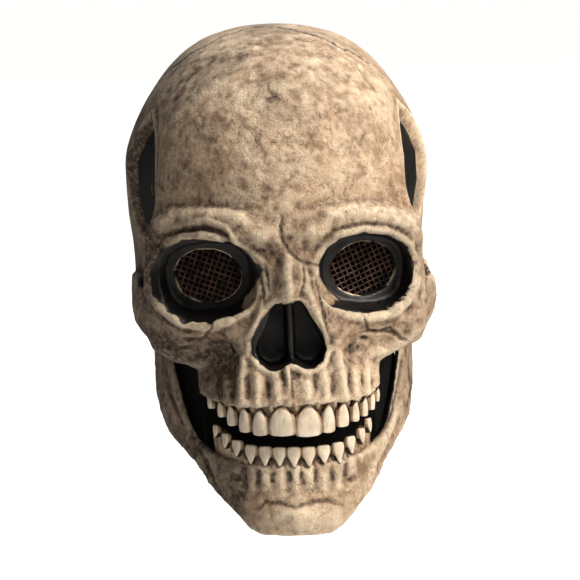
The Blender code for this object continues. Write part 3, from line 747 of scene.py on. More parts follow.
@dataclass(frozen=True)
class WovenNet(Finish):
    """Dyed polyester net, heat set: dull brown-black yarn with a faint sheen."""

    name: str = "polyester_net"
    dark: str = "231711"
    light: str = "6B4B3C"
    twist_mm: float = 0.34907

    def mix(self, tree: bpy.types.NodeTree, shader: bpy.types.Node) -> None:
        """Colours the yarn unevenly, as dye and dust do.

        Args:
            tree: the material's nodes.
            shader: its principled shader.
        """
        place = add_node(tree, "ShaderNodeTexCoord", {}).outputs["Object"]
        dust = self.ramp(tree, self.noise(tree, place, 5, 3), 0.35, 0.65)
        tree.links.new(self.blend(tree, dust, srgb(self.dark), srgb(self.light)), shader.inputs["Base Color"])
        shader.inputs["Roughness"].default_value = 0.62
        scale = WAVE_SPAN / (self.twist_mm * MM)
        twist = add_node(tree, "ShaderNodeTexWave", {"Vector": place, "Scale": scale, "Distortion": 1.0})
        relief = {"Strength": 0.4, "Distance": 0.1 * MM, "Height": twist.outputs["Fac"]}
        bump = add_node(tree, "ShaderNodeBump", relief)
        tree.links.new(bump.outputs[0], shader.inputs["Normal"])


@dataclass(frozen=True)
class BlackCloth(Finish):
    """Black cotton jersey: it takes the light as a flat black with a soft nap."""

    name: str = "cotton_jersey_black"
    yarn: str = "050505"
    nap: str = "0C0B0B"
    row_mm: float = 1.9635

    def mix(self, tree: bpy.types.NodeTree, shader: bpy.types.Node) -> None:
        """Rows of knit, drawn about twice as coarse as real ones so that they show.

        Args:
            tree: the material's nodes.
            shader: its principled shader.
        """
        place = add_node(tree, "ShaderNodeTexCoord", {}).outputs["Object"]
        scale = WAVE_SPAN / (self.row_mm * MM)
        rows = {"Vector": place, "Scale": scale, "Distortion": 1.5, "Detail": 2.0}
        knit = add_node(tree, "ShaderNodeTexWave", rows, bands_direction="X")
        nap = self.ramp(tree, self.noise(tree, place, 1.3, 3), 0.4, 0.7)
        tree.links.new(self.blend(tree, nap, srgb(self.yarn), srgb(self.nap)), shader.inputs["Base Color"])
        shader.inputs["Roughness"].default_value = 0.95
        shader.inputs["Specular IOR Level"].default_value = 0.15
        shader.inputs["Sheen Weight"].default_value = 0.02
        relief = {"Strength": 0.5, "Distance": 0.2 * MM, "Height": knit.outputs["Fac"]}
        bump = add_node(tree, "ShaderNodeBump", relief)
        tree.links.new(bump.outputs[0], shader.inputs["Normal"])


@dataclass(frozen=True)
class BlackedSteel(Finish):
    """Pressed steel rivet with a black lacquer, rubbed through at its edge."""

    name: str = "lacquered_steel"
    lacquer: str = "1C1A19"
    metal: str = "6F6A63"

    def mix(self, tree: bpy.types.NodeTree, shader: bpy.types.Node) -> None:
        """Lacquer with small worn spots.

        Args:
            tree: the material's nodes.
            shader: its principled shader.
        """
        place = add_node(tree, "ShaderNodeTexCoord", {}).outputs["Object"]
        worn = self.ramp(tree, self.noise(tree, place, 1.6, 4, 0.7), 0.60, 0.70)
        colour = self.blend(tree, worn, srgb(self.lacquer), srgb(self.metal))
        tree.links.new(colour, shader.inputs["Base Color"])
        tree.links.new(worn, shader.inputs["Metallic"])
        gloss = self.ramp(tree, self.noise(tree, place, 2, 3), 0.3, 0.7, 0.3, 0.5)
        tree.links.new(gloss, shader.inputs["Roughness"])


@dataclass(frozen=True)
class PaleFloor(Finish):
    """A white paper sweep: matt, and far off as white to the camera as the backdrop."""

    name: str = "paper_sweep"
    paper: str = "FAFAF9"

    def mix(self, tree: bpy.types.NodeTree, shader: bpy.types.Node) -> None:
        """White with a slight cloud, so that it isn't one flat colour.

        Args:
            tree: the material's nodes.
            shader: its principled shader.
        """
        place = add_node(tree, "ShaderNodeTexCoord", {}).outputs["Object"]
        cloud = self.ramp(tree, self.noise(tree, place, 400, 2), 0.3, 0.7)
        tree.links.new(self.blend(tree, cloud, srgb(self.paper), srgb("FFFFFF")), shader.inputs["Base Color"])
        shader.inputs["Roughness"].default_value = 0.95
        shader.inputs["Emission Color"].default_value = srgb("FFFFFF")
        reach = add_node(tree, "ShaderNodeVectorMath", {0: place}, operation="LENGTH").outputs["Value"]
        seen = add_node(tree, "ShaderNodeLightPath", {}).outputs["Is Camera Ray"]
        white = self.sums(tree, "MULTIPLY", self.ramp(tree, reach, 0.45, 1.1), seen)
        tree.links.new(white, shader.inputs["Emission Strength"])


@dataclass
class SkullShell:
    """The cast upper skull: the CAD form made smooth, sculpted and painted."""

    voxel: float = 0.0011
    face_budget: int = 92000
    eye_hole: Points = ((43.5, -134.0), (18.5, 15.0))
    cracks: tuple[Stroke, ...] = (
        Stroke(
            (
                (-2, -99), (-3, -105), (-3, -111), (0, -117),
                (5, -122), (10, -125), (16, -127),
            ),
            0.9, -1.0, 0.7,
        ),
        Stroke(
            (
                (41, -156), (42, -160), (44, -167), (50, -168),
                (56, -167), (62, -172), (67, -176),
            ),
            0.8, -0.9, 0.7,
        ),
        Stroke(((38, -168), (46, -168), (56, -169), (60, -172), (66, -177)), 0.7, -0.6, 0.5),
        Stroke(((-43, -156), (-43, -161), (-47, -167), (-53, -168), (-58, -167)), 0.8, -0.9, 0.8),
        Stroke(((-47, -167), (-41, -170), (-37, -172)), 0.8, -0.8, 0.6),
        Stroke(((-41, -168), (-33, -171), (-31, -175), (-29, -181)), 0.9, -0.9, 0.6),
        Stroke(((-17, -124), (-16, -130), (-15, -136), (-13, -149)), 0.9, -0.9, 0.5),
        Stroke(((-13, -124), (-11, -139)), 0.7, -0.7, 0.4),
        Stroke(((15, -133), (17, -143), (19, -158), (21, -166)), 0.9, -0.9, 0.5),
        Stroke(((8, -125), (9, -133), (6, -143)), 0.7, -0.7, 0.4),
        Stroke(((-73, -173), (-66, -172), (-59, -173), (-54, -172)), 0.8, -0.8, 0.6),
        Stroke(((-58, -168), (-50, -169), (-46, -166)), 0.7, -0.6, 0.5),
        Stroke(((-1, -181), (-1, -190), (-1, -199)), 0.8, -0.6, 0.5),
    )
    ridges: tuple[Stroke, ...] = (
        Stroke(
            (
                (20, -106), (24, -100), (32, -98), (42, -99),
                (55, -102), (67, -107), (76, -115),
            ),
            4.0, 2.2, 0.0, 0.35,
        ),
        Stroke(
            (
                (-18, -106), (-24, -100), (-38, -97), (-49, -97),
                (-60, -99), (-70, -105), (-77, -114),
            ),
            4.0, 2.0, 0.0, 0.3,
        ),
        Stroke(((22, -110), (31, -107), (43, -106), (56, -108), (67, -114)), 1.8, -1.2, 0.25),
        Stroke(
            (
                (-30, -114), (-33, -109), (-37, -106), (-45, -104),
                (-56, -106), (-62, -108), (-70, -110),
            ),
            1.8, -1.8, 0.5,
        ),
        Stroke(((-28, -112), (-33, -104), (-42, -101), (-52, -102)), 1.6, 1.2, 0.0, 0.3),
        Stroke(((7, -125), (10, -140), (14, -152), (20, -164)), 2.4, 1.4, 0.0, 0.3),
        Stroke(((-8, -125), (-12, -140), (-16, -152), (-21, -163)), 2.2, 1.2, 0.0, 0.2),
        Stroke(((-1, -120), (-2, -135), (-2, -145)), 3.4, 1.2, 0.0, 0.4),
        Stroke(((-9, -146), (-5, -147), (-2, -146), (2, -148), (5, -146)), 1.2, 0.9, 0.0, 0.8),
        Stroke(((34, -157), (46, -160), (58, -158), (70, -150), (75, -140)), 3.4, 1.4, 0.0, 0.4),
        Stroke(((-34, -157), (-46, -160), (-58, -158), (-70, -150), (-75, -140)), 3.4, 1.4, 0.0, 0.3),
        Stroke(((47, -181), (56, -180), (66, -175), (76, -168)), 3.0, 1.4, 0.0, 0.45),
        Stroke(((-42, -180), (-52, -183), (-64, -180), (-76, -172)), 3.0, 1.4, 0.0, 0.4),
        Stroke(((-3, -181), (-3, -186), (-2, -192)), 1.4, 1.6, 0.0, 0.5),
        Stroke(((7, -188), (7, -201)), 2.6, 1.1, 0.0, 0.5),
        Stroke(((17, -184), (18, -202)), 2.2, 1.0, 0.0, 0.4),
        Stroke(((25, -172), (27, -190), (28, -203)), 2.4, 1.5, 0.0, 0.5),
        Stroke(((34, -186), (35, -204)), 2.0, 1.0, 0.0, 0.35),
        Stroke(((42, -186), (42, -204)), 2.0, 0.9, 0.0, 0.3),
        Stroke(((-9, -188), (-9, -202)), 2.6, 1.1, 0.0, 0.5),
        Stroke(((-19, -184), (-20, -202)), 2.2, 1.1, 0.0, 0.4),
        Stroke(((-26, -174), (-28, -190), (-29, -203)), 2.4, 1.5, 0.0, 0.5),
        Stroke(((-36, -188), (-36, -204)), 2.0, 0.9, 0.0, 0.3),
    )
    hollows: tuple[Dab, ...] = (
        Dab(42, -172, 1.8, 1.4, -1.6, 0.9),
        Dab(-56, -163, 1.8, 1.4, -1.6, 0.9),
        Dab(-71, -115, 4.5, 4.5, -2.2, 0.6),
        Dab(-6, -185, 2.2, 2.6, -1.2, 0.6),
        Dab(2, -186, 2.2, 2.6, -1.2, 0.5),
        Dab(12, -190, 1.6, 5, -1.0, 0.55),
        Dab(22, -194, 1.5, 4.5, -1.1, 0.6),
        Dab(32, -192, 1.6, 5, -1.3, 0.7),
        Dab(39, -193, 1.4, 4.5, -1.0, 0.6),
        Dab(46, -196, 1.6, 4, -0.8, 0.5),
        Dab(-14, -192, 1.6, 5, -1.0, 0.6),
        Dab(-25, -192, 1.5, 5, -1.2, 0.7),
        Dab(-33, -192, 1.8, 6, -1.4, 0.8),
        Dab(-40, -194, 1.6, 5, -1.0, 0.7),
        Dab(-36, -178, 7, 9, -2.0, 0.6),
        Dab(35, -178, 6, 8, -1.8, 0.35),
        Dab(13, -109, 5, 5, 1.4, 0.0, 0.3),
        Dab(-14, -110, 5, 5, 1.2, 0.0, 0.2),
        Dab(0, -92, 9, 6, 0.8, 0.0, 0.2),
        Dab(0, -112, 4, 5, -1.0, 0.3),
        Dab(-24, -125, 3.5, 6, -1.2, 0.4),
        Dab(21, -170, 3, 5, -0.8, 0.3),
    )
    seam: Points = (
        (-62, -13), (-55, -21), (-47, -26), (-40, -28), (-33, -27),
        (-21, -22), (-9, -18), (4, -24), (16, -33),
        (27, -38), (38, -42), (48, -38), (56, -34),
    )
    temple: Points = (
        (-38, -46), (-50, -58), (-56, -72), (-57, -88), (-60, -104), (-54, -115), (-38, -118), (-25, -112),
        (-23, -92), (-24, -74), (-28, -56),
    )
    left_socket: Points = (
        (16, -127), (22, -119), (29, -112), (43, -110), (58, -114), (68, -122), (72, -132), (70, -142),
        (64, -152), (55, -157), (42, -157), (32, -154), (23, -145), (17, -134),
    )
    right_socket: Points = (
        (-14, -128), (-19, -122), (-29, -114), (-44, -110),
        (-57, -111), (-69, -118), (-75, -130), (-73, -143),
        (-66, -152), (-57, -158), (-44, -158), (-34, -155), (-25, -149), (-18, -139),
    )
    nose: Points = (
        (-8, -146), (-3, -147), (2, -147), (6, -147), (12, -155), (18, -165), (20, -174), (16, -181),
        (8, -184), (2, -181), (-1, -180), (-4, -182), (-9, -184),
        (-16, -181), (-22, -175), (-22, -167), (-16, -156),
    )

    def build(self) -> bpy.types.Object:
        """Makes the piece from the CAD form.

        Returns:
            The dressed shell.
        """
        piece = copy_of_node("skull_shell", "painted_skull")
        apply_modifier(piece, "REMESH", mode="VOXEL", voxel_size=self.voxel)
        places = places_of(piece)
        face = self.face_share(places)
        weights(piece, "round", 1 - smooth_step(0.0, 0.5, face))
        apply_modifier(piece, "SMOOTH", factor=0.5, iterations=150, vertex_group="round")
        apply_modifier(piece, "SMOOTH", factor=0.5, iterations=10)
        places = places_of(piece)
        weights(piece, "keep", self.detail_share(piece, places))
        faces = len(piece.data.polygons)
        share = min(1.0, self.face_budget / faces)
        apply_modifier(piece, "DECIMATE", ratio=share, vertex_group="keep", invert_vertex_group=True)
        piece.vertex_groups.clear()
        self.sculpt(piece)
        piece.data.shade_smooth()
        return dress(piece, PaintedLatex(), Body.SKULL, "bone", "skull_shell")

    @staticmethod
    def face_share(places: np.ndarray) -> np.ndarray:
        """How much of the face's modelling is at each place, from 0 on the dome to 1.

        Args:
            places: the shell's points, in metres.

        Returns:
            One value a point.
        """
        front = smooth_step(0.0, -0.040, places[:, 1])
        low = smooth_step(-0.060, -0.095, places[:, 2])
        rim = smooth_step(-0.130, -0.150, places[:, 2]) * smooth_step(0.060, 0.020, places[:, 1])
        return np.maximum(front * low, rim)

    def detail_share(self, piece: bpy.types.Object, places: np.ndarray) -> np.ndarray:
        """Where the mesh stays fine: the outside of the face.

        Args:
            piece: the shell.
            places: its points, in metres.

        Returns:
            1 where the mesh stays fine, down to 0.
        """
        normals = np.zeros(len(places) * 3)
        piece.data.vertices.foreach_get("normal", normals)
        normals = normals.reshape(-1, 3)
        outward = (normals * (places - np.array([0, 0, -0.12]))).sum(1) > 0
        front = smooth_step(0.010, -0.030, places[:, 1]) * smooth_step(-0.035, -0.085, places[:, 2])
        return np.where(outward, 0.15 + 0.85 * front, 0.0)

    def sculpt(self, piece: bpy.types.Object) -> None:
        """Works the surface and lays the coats of paint.

        Args:
            piece: the smooth shell.
        """
        clay = Clay(piece)
        x, y, z = clay.places.T / MM
        middle = clay.places - np.array([0, 0, -0.12])
        outward = smooth_step(-0.1, 0.25, (clay.normals * middle).sum(1) / np.linalg.norm(middle, axis=1))
        facing = smooth_step(0.05, -0.35, clay.normals[:, 1]) * smooth_step(-25, -45, y) * outward
        left, right = (outline_distance(x, z, rim) for rim in (self.left_socket, self.right_socket))
        socket = np.minimum(left, right)
        nose = outline_distance(x, z, self.nose)
        front = smooth_step(-30, -50, y)
        soft = 0.8 * grain(clay.places, 0.004, 15)
        black = np.maximum(smooth_step(1.8, -1.6, socket + soft), smooth_step(0.9, -1.0, nose)) * front
        bone = facing * (1 - smooth_step(1.0, -1.0, np.minimum(socket, nose)))
        push = 1.4 * clay.draw(self.ridges, bone) + 1.3 * clay.press(self.hollows, bone)
        push += 1.1 * layered_grain(clay.places, 0.016, 3, 3) * outward * (0.35 + 0.65 * facing)
        push += 0.75 * layered_grain(clay.places, 0.006, 7, 3) * bone
        # A raised rim goes round the sockets and the nose.
        rim = np.exp(-(((socket - 2.2) / 2.0) ** 2)) * facing
        push += 1.5 * rim + 1.0 * np.exp(-(((nose - 1.6) / 1.5) ** 2)) * facing
        clay.paint["cream"] += 0.3 * rim
        # Each temple is pressed in behind a low rim, drawn in the side view.
        flank = smooth_step(0.25, 0.6, np.abs(clay.normals[:, 0])) * smooth_step(55, 60, np.abs(x)) * outward
        temple = outline_distance(y, z, self.temple) + 1.2 * grain(clay.places, 0.009, 8)
        push += (1.3 * np.exp(-(((temple - 2.5) / 2.2) ** 2)) - 4.5 * smooth_step(1.0, -8.0, temple)) * flank
        clay.paint["cream"] += 0.35 * np.exp(-(((temple - 2.0) / 1.6) ** 2)) * flank
        # The temple hollows are washed dark. The extra dark on the wearer's right and along the front rim is
        # painted shade, where the hollow lies in shadow.
        inside = smooth_step(1.2, -3.5, temple) * flank
        clay.paint["wash_and_shade"] += inside * (0.6 + 0.5 * smooth_step(0, -20, x) + 0.4 * smooth_step(-46, -56, y))
        clay.move(push)
        clay.move(clay.draw(self.cracks, bone, 0.6))
        crown = smooth_step(0.25, 0.5, clay.normals[:, 2]) * outward
        clay.move(clay.draw(self.seam_of_the_crown(), crown, 0.8, 1))
        self.paint(clay, outward, black)

    def seam_of_the_crown(self) -> tuple[Stroke, ...]:
        """The jagged seam over the crown, drawn in (x, y), with small teeth to both sides.

        Returns:
            The jagged line and the low welt beside it.
        """
        corners, strokes = [], []
        for (ax, ay), (bx, by) in zip(self.seam, self.seam[1:]):
            count = max(2, round(math.hypot(bx - ax, by - ay) / 2.2))
            for step in range(count):
                share = step / count
                way = 1 if len(corners) % 2 else -1
                reach = way * (0.9 + 0.7 * math.sin(2.3 * len(corners)))
                corners.append((ax + share * (bx - ax), ay + share * (by - ay) + reach))
        strokes.append(Stroke(tuple(corners), 1.0, -1.3, 1.0))
        strokes.append(Stroke(self.seam, 3.4, 0.5, 0.35, 0.1))
        return tuple(strokes)

    def paint(self, clay: Clay, outward: np.ndarray, black: np.ndarray) -> None:
        """Lays black, wash and cream; the wash also carries painted shade and painted light.

        Args:
            clay: the sculpted shell.
            outward: 1 on the outside, 0 inside.
            black: where the sockets and the nose are brushed black.
        """
        x, y, z = clay.places.T / MM
        clay.stain_hollows(6, 2.9)
        clay.stain_hollows(25, 0.45)
        # The cut edge of each eye hole shows the raw latex, here and there.
        (eye_x, eye_z), (hole_x, hole_z) = self.eye_hole
        reach = np.hypot((np.abs(x) - eye_x) / hole_x, (z - eye_z) / hole_z)
        cut = np.exp(-(((reach - 1.0) / 0.035) ** 2)) * smooth_step(-60, -68, y)
        cut *= smooth_step(-0.35, 0.1, grain(clay.places, 0.011, 17))
        black = np.maximum(black, 1 - outward) * (1 - cut)
        clay.paint["cream"] += 1.6 * cut
        clay.paint["black"] = black
        # The wash lies in random blots. It is laid thicker on the wearer's right, most of all low on the
        # face, as painted shade on the side away from the key light; it is also thicker towards the back and
        # in a band across the brow.
        blot = smooth_step(0.0, 0.55, layered_grain(clay.places, 0.03, 21, 3))
        clay.paint["wash_and_shade"] += 0.42 * blot * (1 - cut)
        clay.paint["wash_and_shade"] += 0.6 * smooth_step(-52, -78, x) + 0.3 * smooth_step(-25, 50, y)
        clay.paint["wash_and_shade"] += 0.75 * smooth_step(-20, -38, x) * smooth_step(-156, -174, z)
        front = smooth_step(-40, -60, y)
        clay.paint["wash_and_shade"] += 0.42 * front * np.exp(-(((z + 126) / 20) ** 2))
        # It is thinned above the teeth, from the middle to the wearer's left, and thinned on the dome's left
        # as painted light, where the key light falls.
        clay.paint["wash_and_shade"] -= 0.35 * front * smooth_step(-168, -178, z) * smooth_step(-22, 0, x)
        clay.paint["wash_and_shade"] -= 0.3 * smooth_step(0, 30, x) * smooth_step(-105, -80, z)
        clay.paint["wash_and_shade"] *= 1 - cut
        clay.keep_paint()


@dataclass
class LowerJaw:
    """The mandible: the CAD form made smooth, sculpted and painted."""

    voxel: float = 0.0012
    ridges: tuple[Stroke, ...] = (
        Stroke(((-9, -241), (-8, -252)), 2.2, 0.9, 0.0, 0.4),
        Stroke(((-1, -240), (-1, -252)), 2.2, 0.9, 0.0, 0.4),
        Stroke(((7, -241), (7, -252)), 2.2, 0.9, 0.0, 0.4),
        Stroke(((15, -242), (15, -254)), 2.2, 0.9, 0.0, 0.4),
        Stroke(((24, -241), (23, -254)), 2.4, 1.1, 0.0, 0.5),
        Stroke(((32, -239), (31, -250)), 2.2, 0.9, 0.0, 0.4),
        Stroke(((-17, -241), (-17, -253)), 2.2, 0.9, 0.0, 0.4),
        Stroke(((-25, -240), (-25, -253)), 2.4, 1.1, 0.0, 0.5),
        Stroke(((-33, -238), (-32, -250)), 2.2, 0.9, 0.0, 0.3),
        Stroke(((-14, -268), (-6, -264), (4, -264), (13, -268)), 5.0, 1.6, 0.0, 0.4),
        Stroke(((63, -220), (53, -235), (44, -245), (40, -257)), 3.0, 1.6, 0.0, 0.5),
        Stroke(((-60, -218), (-53, -227), (-48, -234), (-42, -248)), 2.2, 1.4, 0.0, 0.5),
    )
    grooves: tuple[Stroke, ...] = (
        Stroke(((67, -191), (65, -202), (59, -220), (52, -230)), 1.2, -1.0, 0.5),
        Stroke(((72, -200), (74, -214), (70, -222)), 1.2, -1.0, 0.5),
        Stroke(((-70, -195), (-68, -208), (-62, -222)), 1.2, -1.0, 0.6),
        Stroke(((-58, -226), (-50, -240), (-44, -252)), 1.0, -0.9, 0.5),
        Stroke(
            (
                (-24, -262), (-18, -258), (-10, -258), (-2, -260),
                (8, -258), (18, -259), (26, -263),
            ),
            1.6, -0.9, 0.4,
        ),
        Stroke(((-4, -240), (-4, -246)), 1.3, -0.8, 0.7),
        Stroke(((3, -240), (3, -247)), 1.3, -0.8, 0.7),
        Stroke(((11, -240), (11, -248)), 1.3, -0.8, 0.7),
        Stroke(((20, -241), (20, -249)), 1.3, -0.9, 0.7),
        Stroke(((28, -239), (28, -248)), 1.3, -0.9, 0.7),
        Stroke(((-13, -240), (-13, -248)), 1.3, -0.8, 0.7),
        Stroke(((-21, -240), (-21, -249)), 1.3, -0.9, 0.7),
        Stroke(((-29, -238), (-29, -247)), 1.3, -0.9, 0.7),
    )
    pits: tuple[Dab, ...] = (
        Dab(-32, -245, 1.8, 1.6, -1.8, 0.9),
        Dab(31, -249, 1.8, 1.6, -1.6, 0.8),
        Dab(0, -272, 10, 5, 0.9, 0.0, 0.3),
        Dab(-20, -270, 5, 5, 1.0, 0.0, 0.2),
        Dab(19, -270, 5, 5, 1.0, 0.0, 0.3),
    )

    def build(self) -> bpy.types.Object:
        """Makes the piece from the CAD form.

        Returns:
            The dressed jaw.
        """
        piece = copy_of_node("lower_jaw", "painted_jaw")
        apply_modifier(piece, "REMESH", mode="VOXEL", voxel_size=self.voxel)
        apply_modifier(piece, "SMOOTH", factor=0.5, iterations=14)
        self.sculpt(piece)
        piece.data.shade_smooth()
        return dress(piece, PaintedLatex(), Body.JAW, "jaw_bone", "lower_jaw")

    def sculpt(self, piece: bpy.types.Object) -> None:
        """Works the surface and lays the coats of paint.

        Args:
            piece: the smooth jaw.
        """
        clay = Clay(piece)
        x, _, z = clay.places.T / MM
        centre = np.array([0, -0.03, -0.23])
        away = clay.places - centre
        away[:, 2] *= 0.2
        outward = smooth_step(-0.2, 0.2, (clay.normals * away).sum(1) / np.linalg.norm(away, axis=1))
        facing = smooth_step(0.2, -0.3, clay.normals[:, 1]) * outward
        push = clay.draw(self.ridges, facing) + clay.press(self.pits, facing)
        push += 1.0 * layered_grain(clay.places, 0.013, 31, 3) * outward
        push += 0.45 * layered_grain(clay.places, 0.005, 37, 2) * outward
        clay.move(push)
        clay.move(clay.draw(self.grooves, facing, 0.6))
        clay.stain_hollows(6, 2.4)
        clay.stain_hollows(25, 0.3)
        clay.paint["black"] = 1 - outward
        clay.paint["wash_and_shade"] += 0.4 * smooth_step(0.1, 0.6, layered_grain(clay.places, 0.03, 41, 3))
        # Painted shade: the jaw is washed darker on the wearer's right, away from the key light, in upright
        # streaks. It is also darker towards the far edge of the wearer's left.
        streaked_shade = 0.75 + 0.5 * layered_grain(clay.places * np.array([1.0, 1.0, 0.4]), 0.006, 45, 2)
        clay.paint["wash_and_shade"] += 1.05 * smooth_step(-10, -38, x) * streaked_shade + 0.2 * smooth_step(40, 60, x)
        # Painted light: the chin is made paler from the middle to the wearer's left, where the key light
        # falls.
        clay.paint["wash_and_shade"] -= 0.2 * smooth_step(-250, -262, z) * smooth_step(-20, 0, x)
        clay.keep_paint()


@dataclass(frozen=True)
class ToothPlan:
    """One crown: its middle, width at the edge, gum line and biting edge, in millimetres."""

    x: float
    width: float
    gum: float
    edge: float


@dataclass
class ToothRow:
    """A row of separate crowns on a recessed bed of bone."""

    row: Row
    body: Body
    node: str
    crowns: tuple[ToothPlan, ...]
    half_width: float
    depth: float
    neck: float
    point: float
    bone_edge: float
    centre_y: float = -0.066
    thickness: float = 0.006
    proud: float = 0.0012
    bed_setback: float = 0.0026
    pieces: list[bpy.types.Object] = field(default_factory=list)

    def arch(self, x: float) -> tuple[Vector, Vector]:
        """Place and outward direction on the arch at x.

        Args:
            x: distance from the middle, in metres.

        Returns:
            The point at z 0 and the direction away from the mouth.
        """
        turn = math.asin(max(-0.999, min(0.999, x / self.half_width)))
        y = self.centre_y - self.depth * math.cos(turn)
        outward = Vector((math.sin(turn) / self.half_width, -math.cos(turn) / self.depth, 0)).normalized()
        return Vector((x, y, 0)), outward

    def crown(self, index: int, plan: ToothPlan) -> bpy.types.Object:
        """Models one crown from a cube that is subdivided and shaped.

        Args:
            index: its number in the row.
            plan: its sizes.

        Returns:
            The new object.
        """
        deselect()
        bpy.ops.mesh.primitive_cube_add(size=2)
        piece = bpy.context.object
        piece.name = f"{self.row.name.lower()}_crown_{index:02d}"
        bpy.ops.object.mode_set(mode="EDIT")
        bpy.ops.mesh.select_all(action="SELECT")
        bpy.ops.mesh.subdivide(number_cuts=7)
        bpy.ops.object.mode_set(mode="OBJECT")
        base, outward = self.arch(plan.x * MM)
        across = Vector((-outward.y, outward.x, 0))
        if across.x < 0:
            across = -across
        span = (plan.gum - plan.edge) * MM
        wash_and_shade = piece.data.attributes.new("paint_wash_and_shade", "FLOAT", "POINT")
        values = []
        for vertex in piece.data.vertices:
            a, b, c = vertex.co
            down = (1 - c) / 2
            round_a = a * math.sqrt(1 - b * b / 4)
            round_b = b * math.sqrt(1 - a * a / 2)
            flare = self.neck + (1 - self.neck) * math.sin(min(1.0, down * 1.35) * math.pi / 2)
            half = 1.12 * plan.width / 2 * MM * flare * (1 - 0.10 * max(0.0, down - 0.85) / 0.15)
            arch_drop = (a * a) * self.point * (1 - down) ** 2 - (a * a) * 0.05 * down**3
            bulge = self.proud * (0.35 + 0.9 * math.sin(min(1.0, 0.15 + down) * math.pi * 0.8))
            thick = self.thickness / 2 * (1 - 0.45 * down)
            push = round_b * thick - thick + bulge * (1 - 0.35 * a * a)
            height = plan.gum * MM - span * (down + arch_drop * (1 - down * 0.2))
            vertex.co = base + across * (round_a * half) + outward * push
            vertex.co.z = height
            # The coat is darkest at the gum line and a crown's sides, as wash and painted shade where it
            # meets the gum and its neighbours; the back half of each crown is darkened as well.
            near_gum = max(0.0, 1 - down / 0.13)
            at_side = max(0.0, abs(a) - 0.90) / 0.10
            values.append(min(1.0, near_gum + 0.38 * at_side + (0.6 if b < -0.2 else 0)))
        wash_and_shade.data.foreach_set("value", values)
        bm = bmesh.new()
        bm.from_mesh(piece.data)
        bmesh.ops.recalc_face_normals(bm, faces=bm.faces)
        bm.to_mesh(piece.data)
        bm.free()
        apply_modifier(piece, "SUBSURF", levels=1, render_levels=1)
        piece.data.shade_smooth()
        return piece

    def bed(self) -> bpy.types.Object:
        """The bone that the crowns stand in, drawn forward between them.

        Returns:
            The new object.
        """
        way = self.row.value
        xs = np.linspace(self.crowns[0].x - 5, self.crowns[-1].x + 5, 181)
        xs = xs[np.abs(xs) < self.half_width / MM * 0.97]
        gaps = [(a.x + b.x) / 2 for a, b in zip(self.crowns, self.crowns[1:])]
        middles = [c.x for c in self.crowns]
        gums = [c.gum for c in self.crowns]
        edges = [c.edge for c in self.crowns]
        bm = bmesh.new()
        loops = []
        heights = (-0.25, 0.0, 0.12, 0.24, 0.36, 0.5, 0.72)
        for x in xs:
            place, outward = self.arch(x * MM)
            gum, edge = np.interp(x, middles, gums) * MM, np.interp(x, middles, edges) * MM
            between = max(math.exp(-(((x - g) / 1.5) ** 2)) for g in gaps)
            front = []
            for h in heights:
                papilla = between * float(smooth_step(0.36, 0.0, np.array(h))) * (0.0 if h < 0 else 1.0)
                push = -self.bed_setback + (self.bed_setback + 0.0008) * papilla
                point = place + outward * push
                front.append((point.x, point.y, gum + (edge - gum) * h))
            back = []
            for h in (heights[-1], heights[0]):
                point = place - outward * (self.thickness * 0.9)
                back.append((point.x, point.y, gum + (edge - gum) * h))
            foot = way * min(way * self.bone_edge * MM, way * (gum + (edge - gum) * heights[0]) - 0.0005)
            low = place - outward * 0.0034
            low_back = place - outward * (self.thickness * 0.9)
            ring = [(low.x, low.y, foot), *front, *back, (low_back.x, low_back.y, foot)]
            loops.append([bm.verts.new(p) for p in ring])
        for near, far in zip(loops, loops[1:]):
            for i in range(len(near)):
                j = (i + 1) % len(near)
                bm.faces.new((near[i], near[j], far[j], far[i]))
        bm.faces.new(loops[0][::-1])
        bm.faces.new(loops[-1])
        bmesh.ops.recalc_face_normals(bm, faces=bm.faces)
        mesh = bpy.data.meshes.new(f"{self.row.name.lower()}_tooth_bed")
        bm.to_mesh(mesh)
        bm.free()
        piece = bpy.data.objects.new(mesh.name, mesh)
        bpy.context.scene.collection.objects.link(piece)
        clay = Clay(piece)
        place = clay.places / MM
        level = np.interp(place[:, 0], middles, gums)
        clay.paint["wash_and_shade"] += 0.2 + 0.7 * smooth_step(1.5, 4.0, way * (place[:, 2] - level))
        clay.paint["wash_and_shade"] += 0.3 * layered_grain(clay.places, 0.004, 51, 2)
        clay.keep_paint()
        mesh.shade_smooth()
        LOG.info("bed of the %s row, way %d", self.row.name.lower(), way)
        return piece

    def build(self) -> list[bpy.types.Object]:
        """Models the crowns, joins them and adds the bed.

        Returns:
            The dressed pieces of the row.
        """
        crowns = [self.crown(i, plan) for i, plan in enumerate(self.crowns)]
        pick(crowns[0])
        for crown in crowns:
            crown.select_set(True)
        bpy.ops.object.join()
        row = bpy.context.object
        row.name = row.data.name = f"{self.row.name.lower()}_crowns"
        dress(row, ToothPaint(), self.body, "tooth", self.node)
        bed = dress(self.bed(), PaintedLatex(name="painted_latex_gum"), self.body, "tooth")
        self.pieces = [row, bed]
        return self.pieces


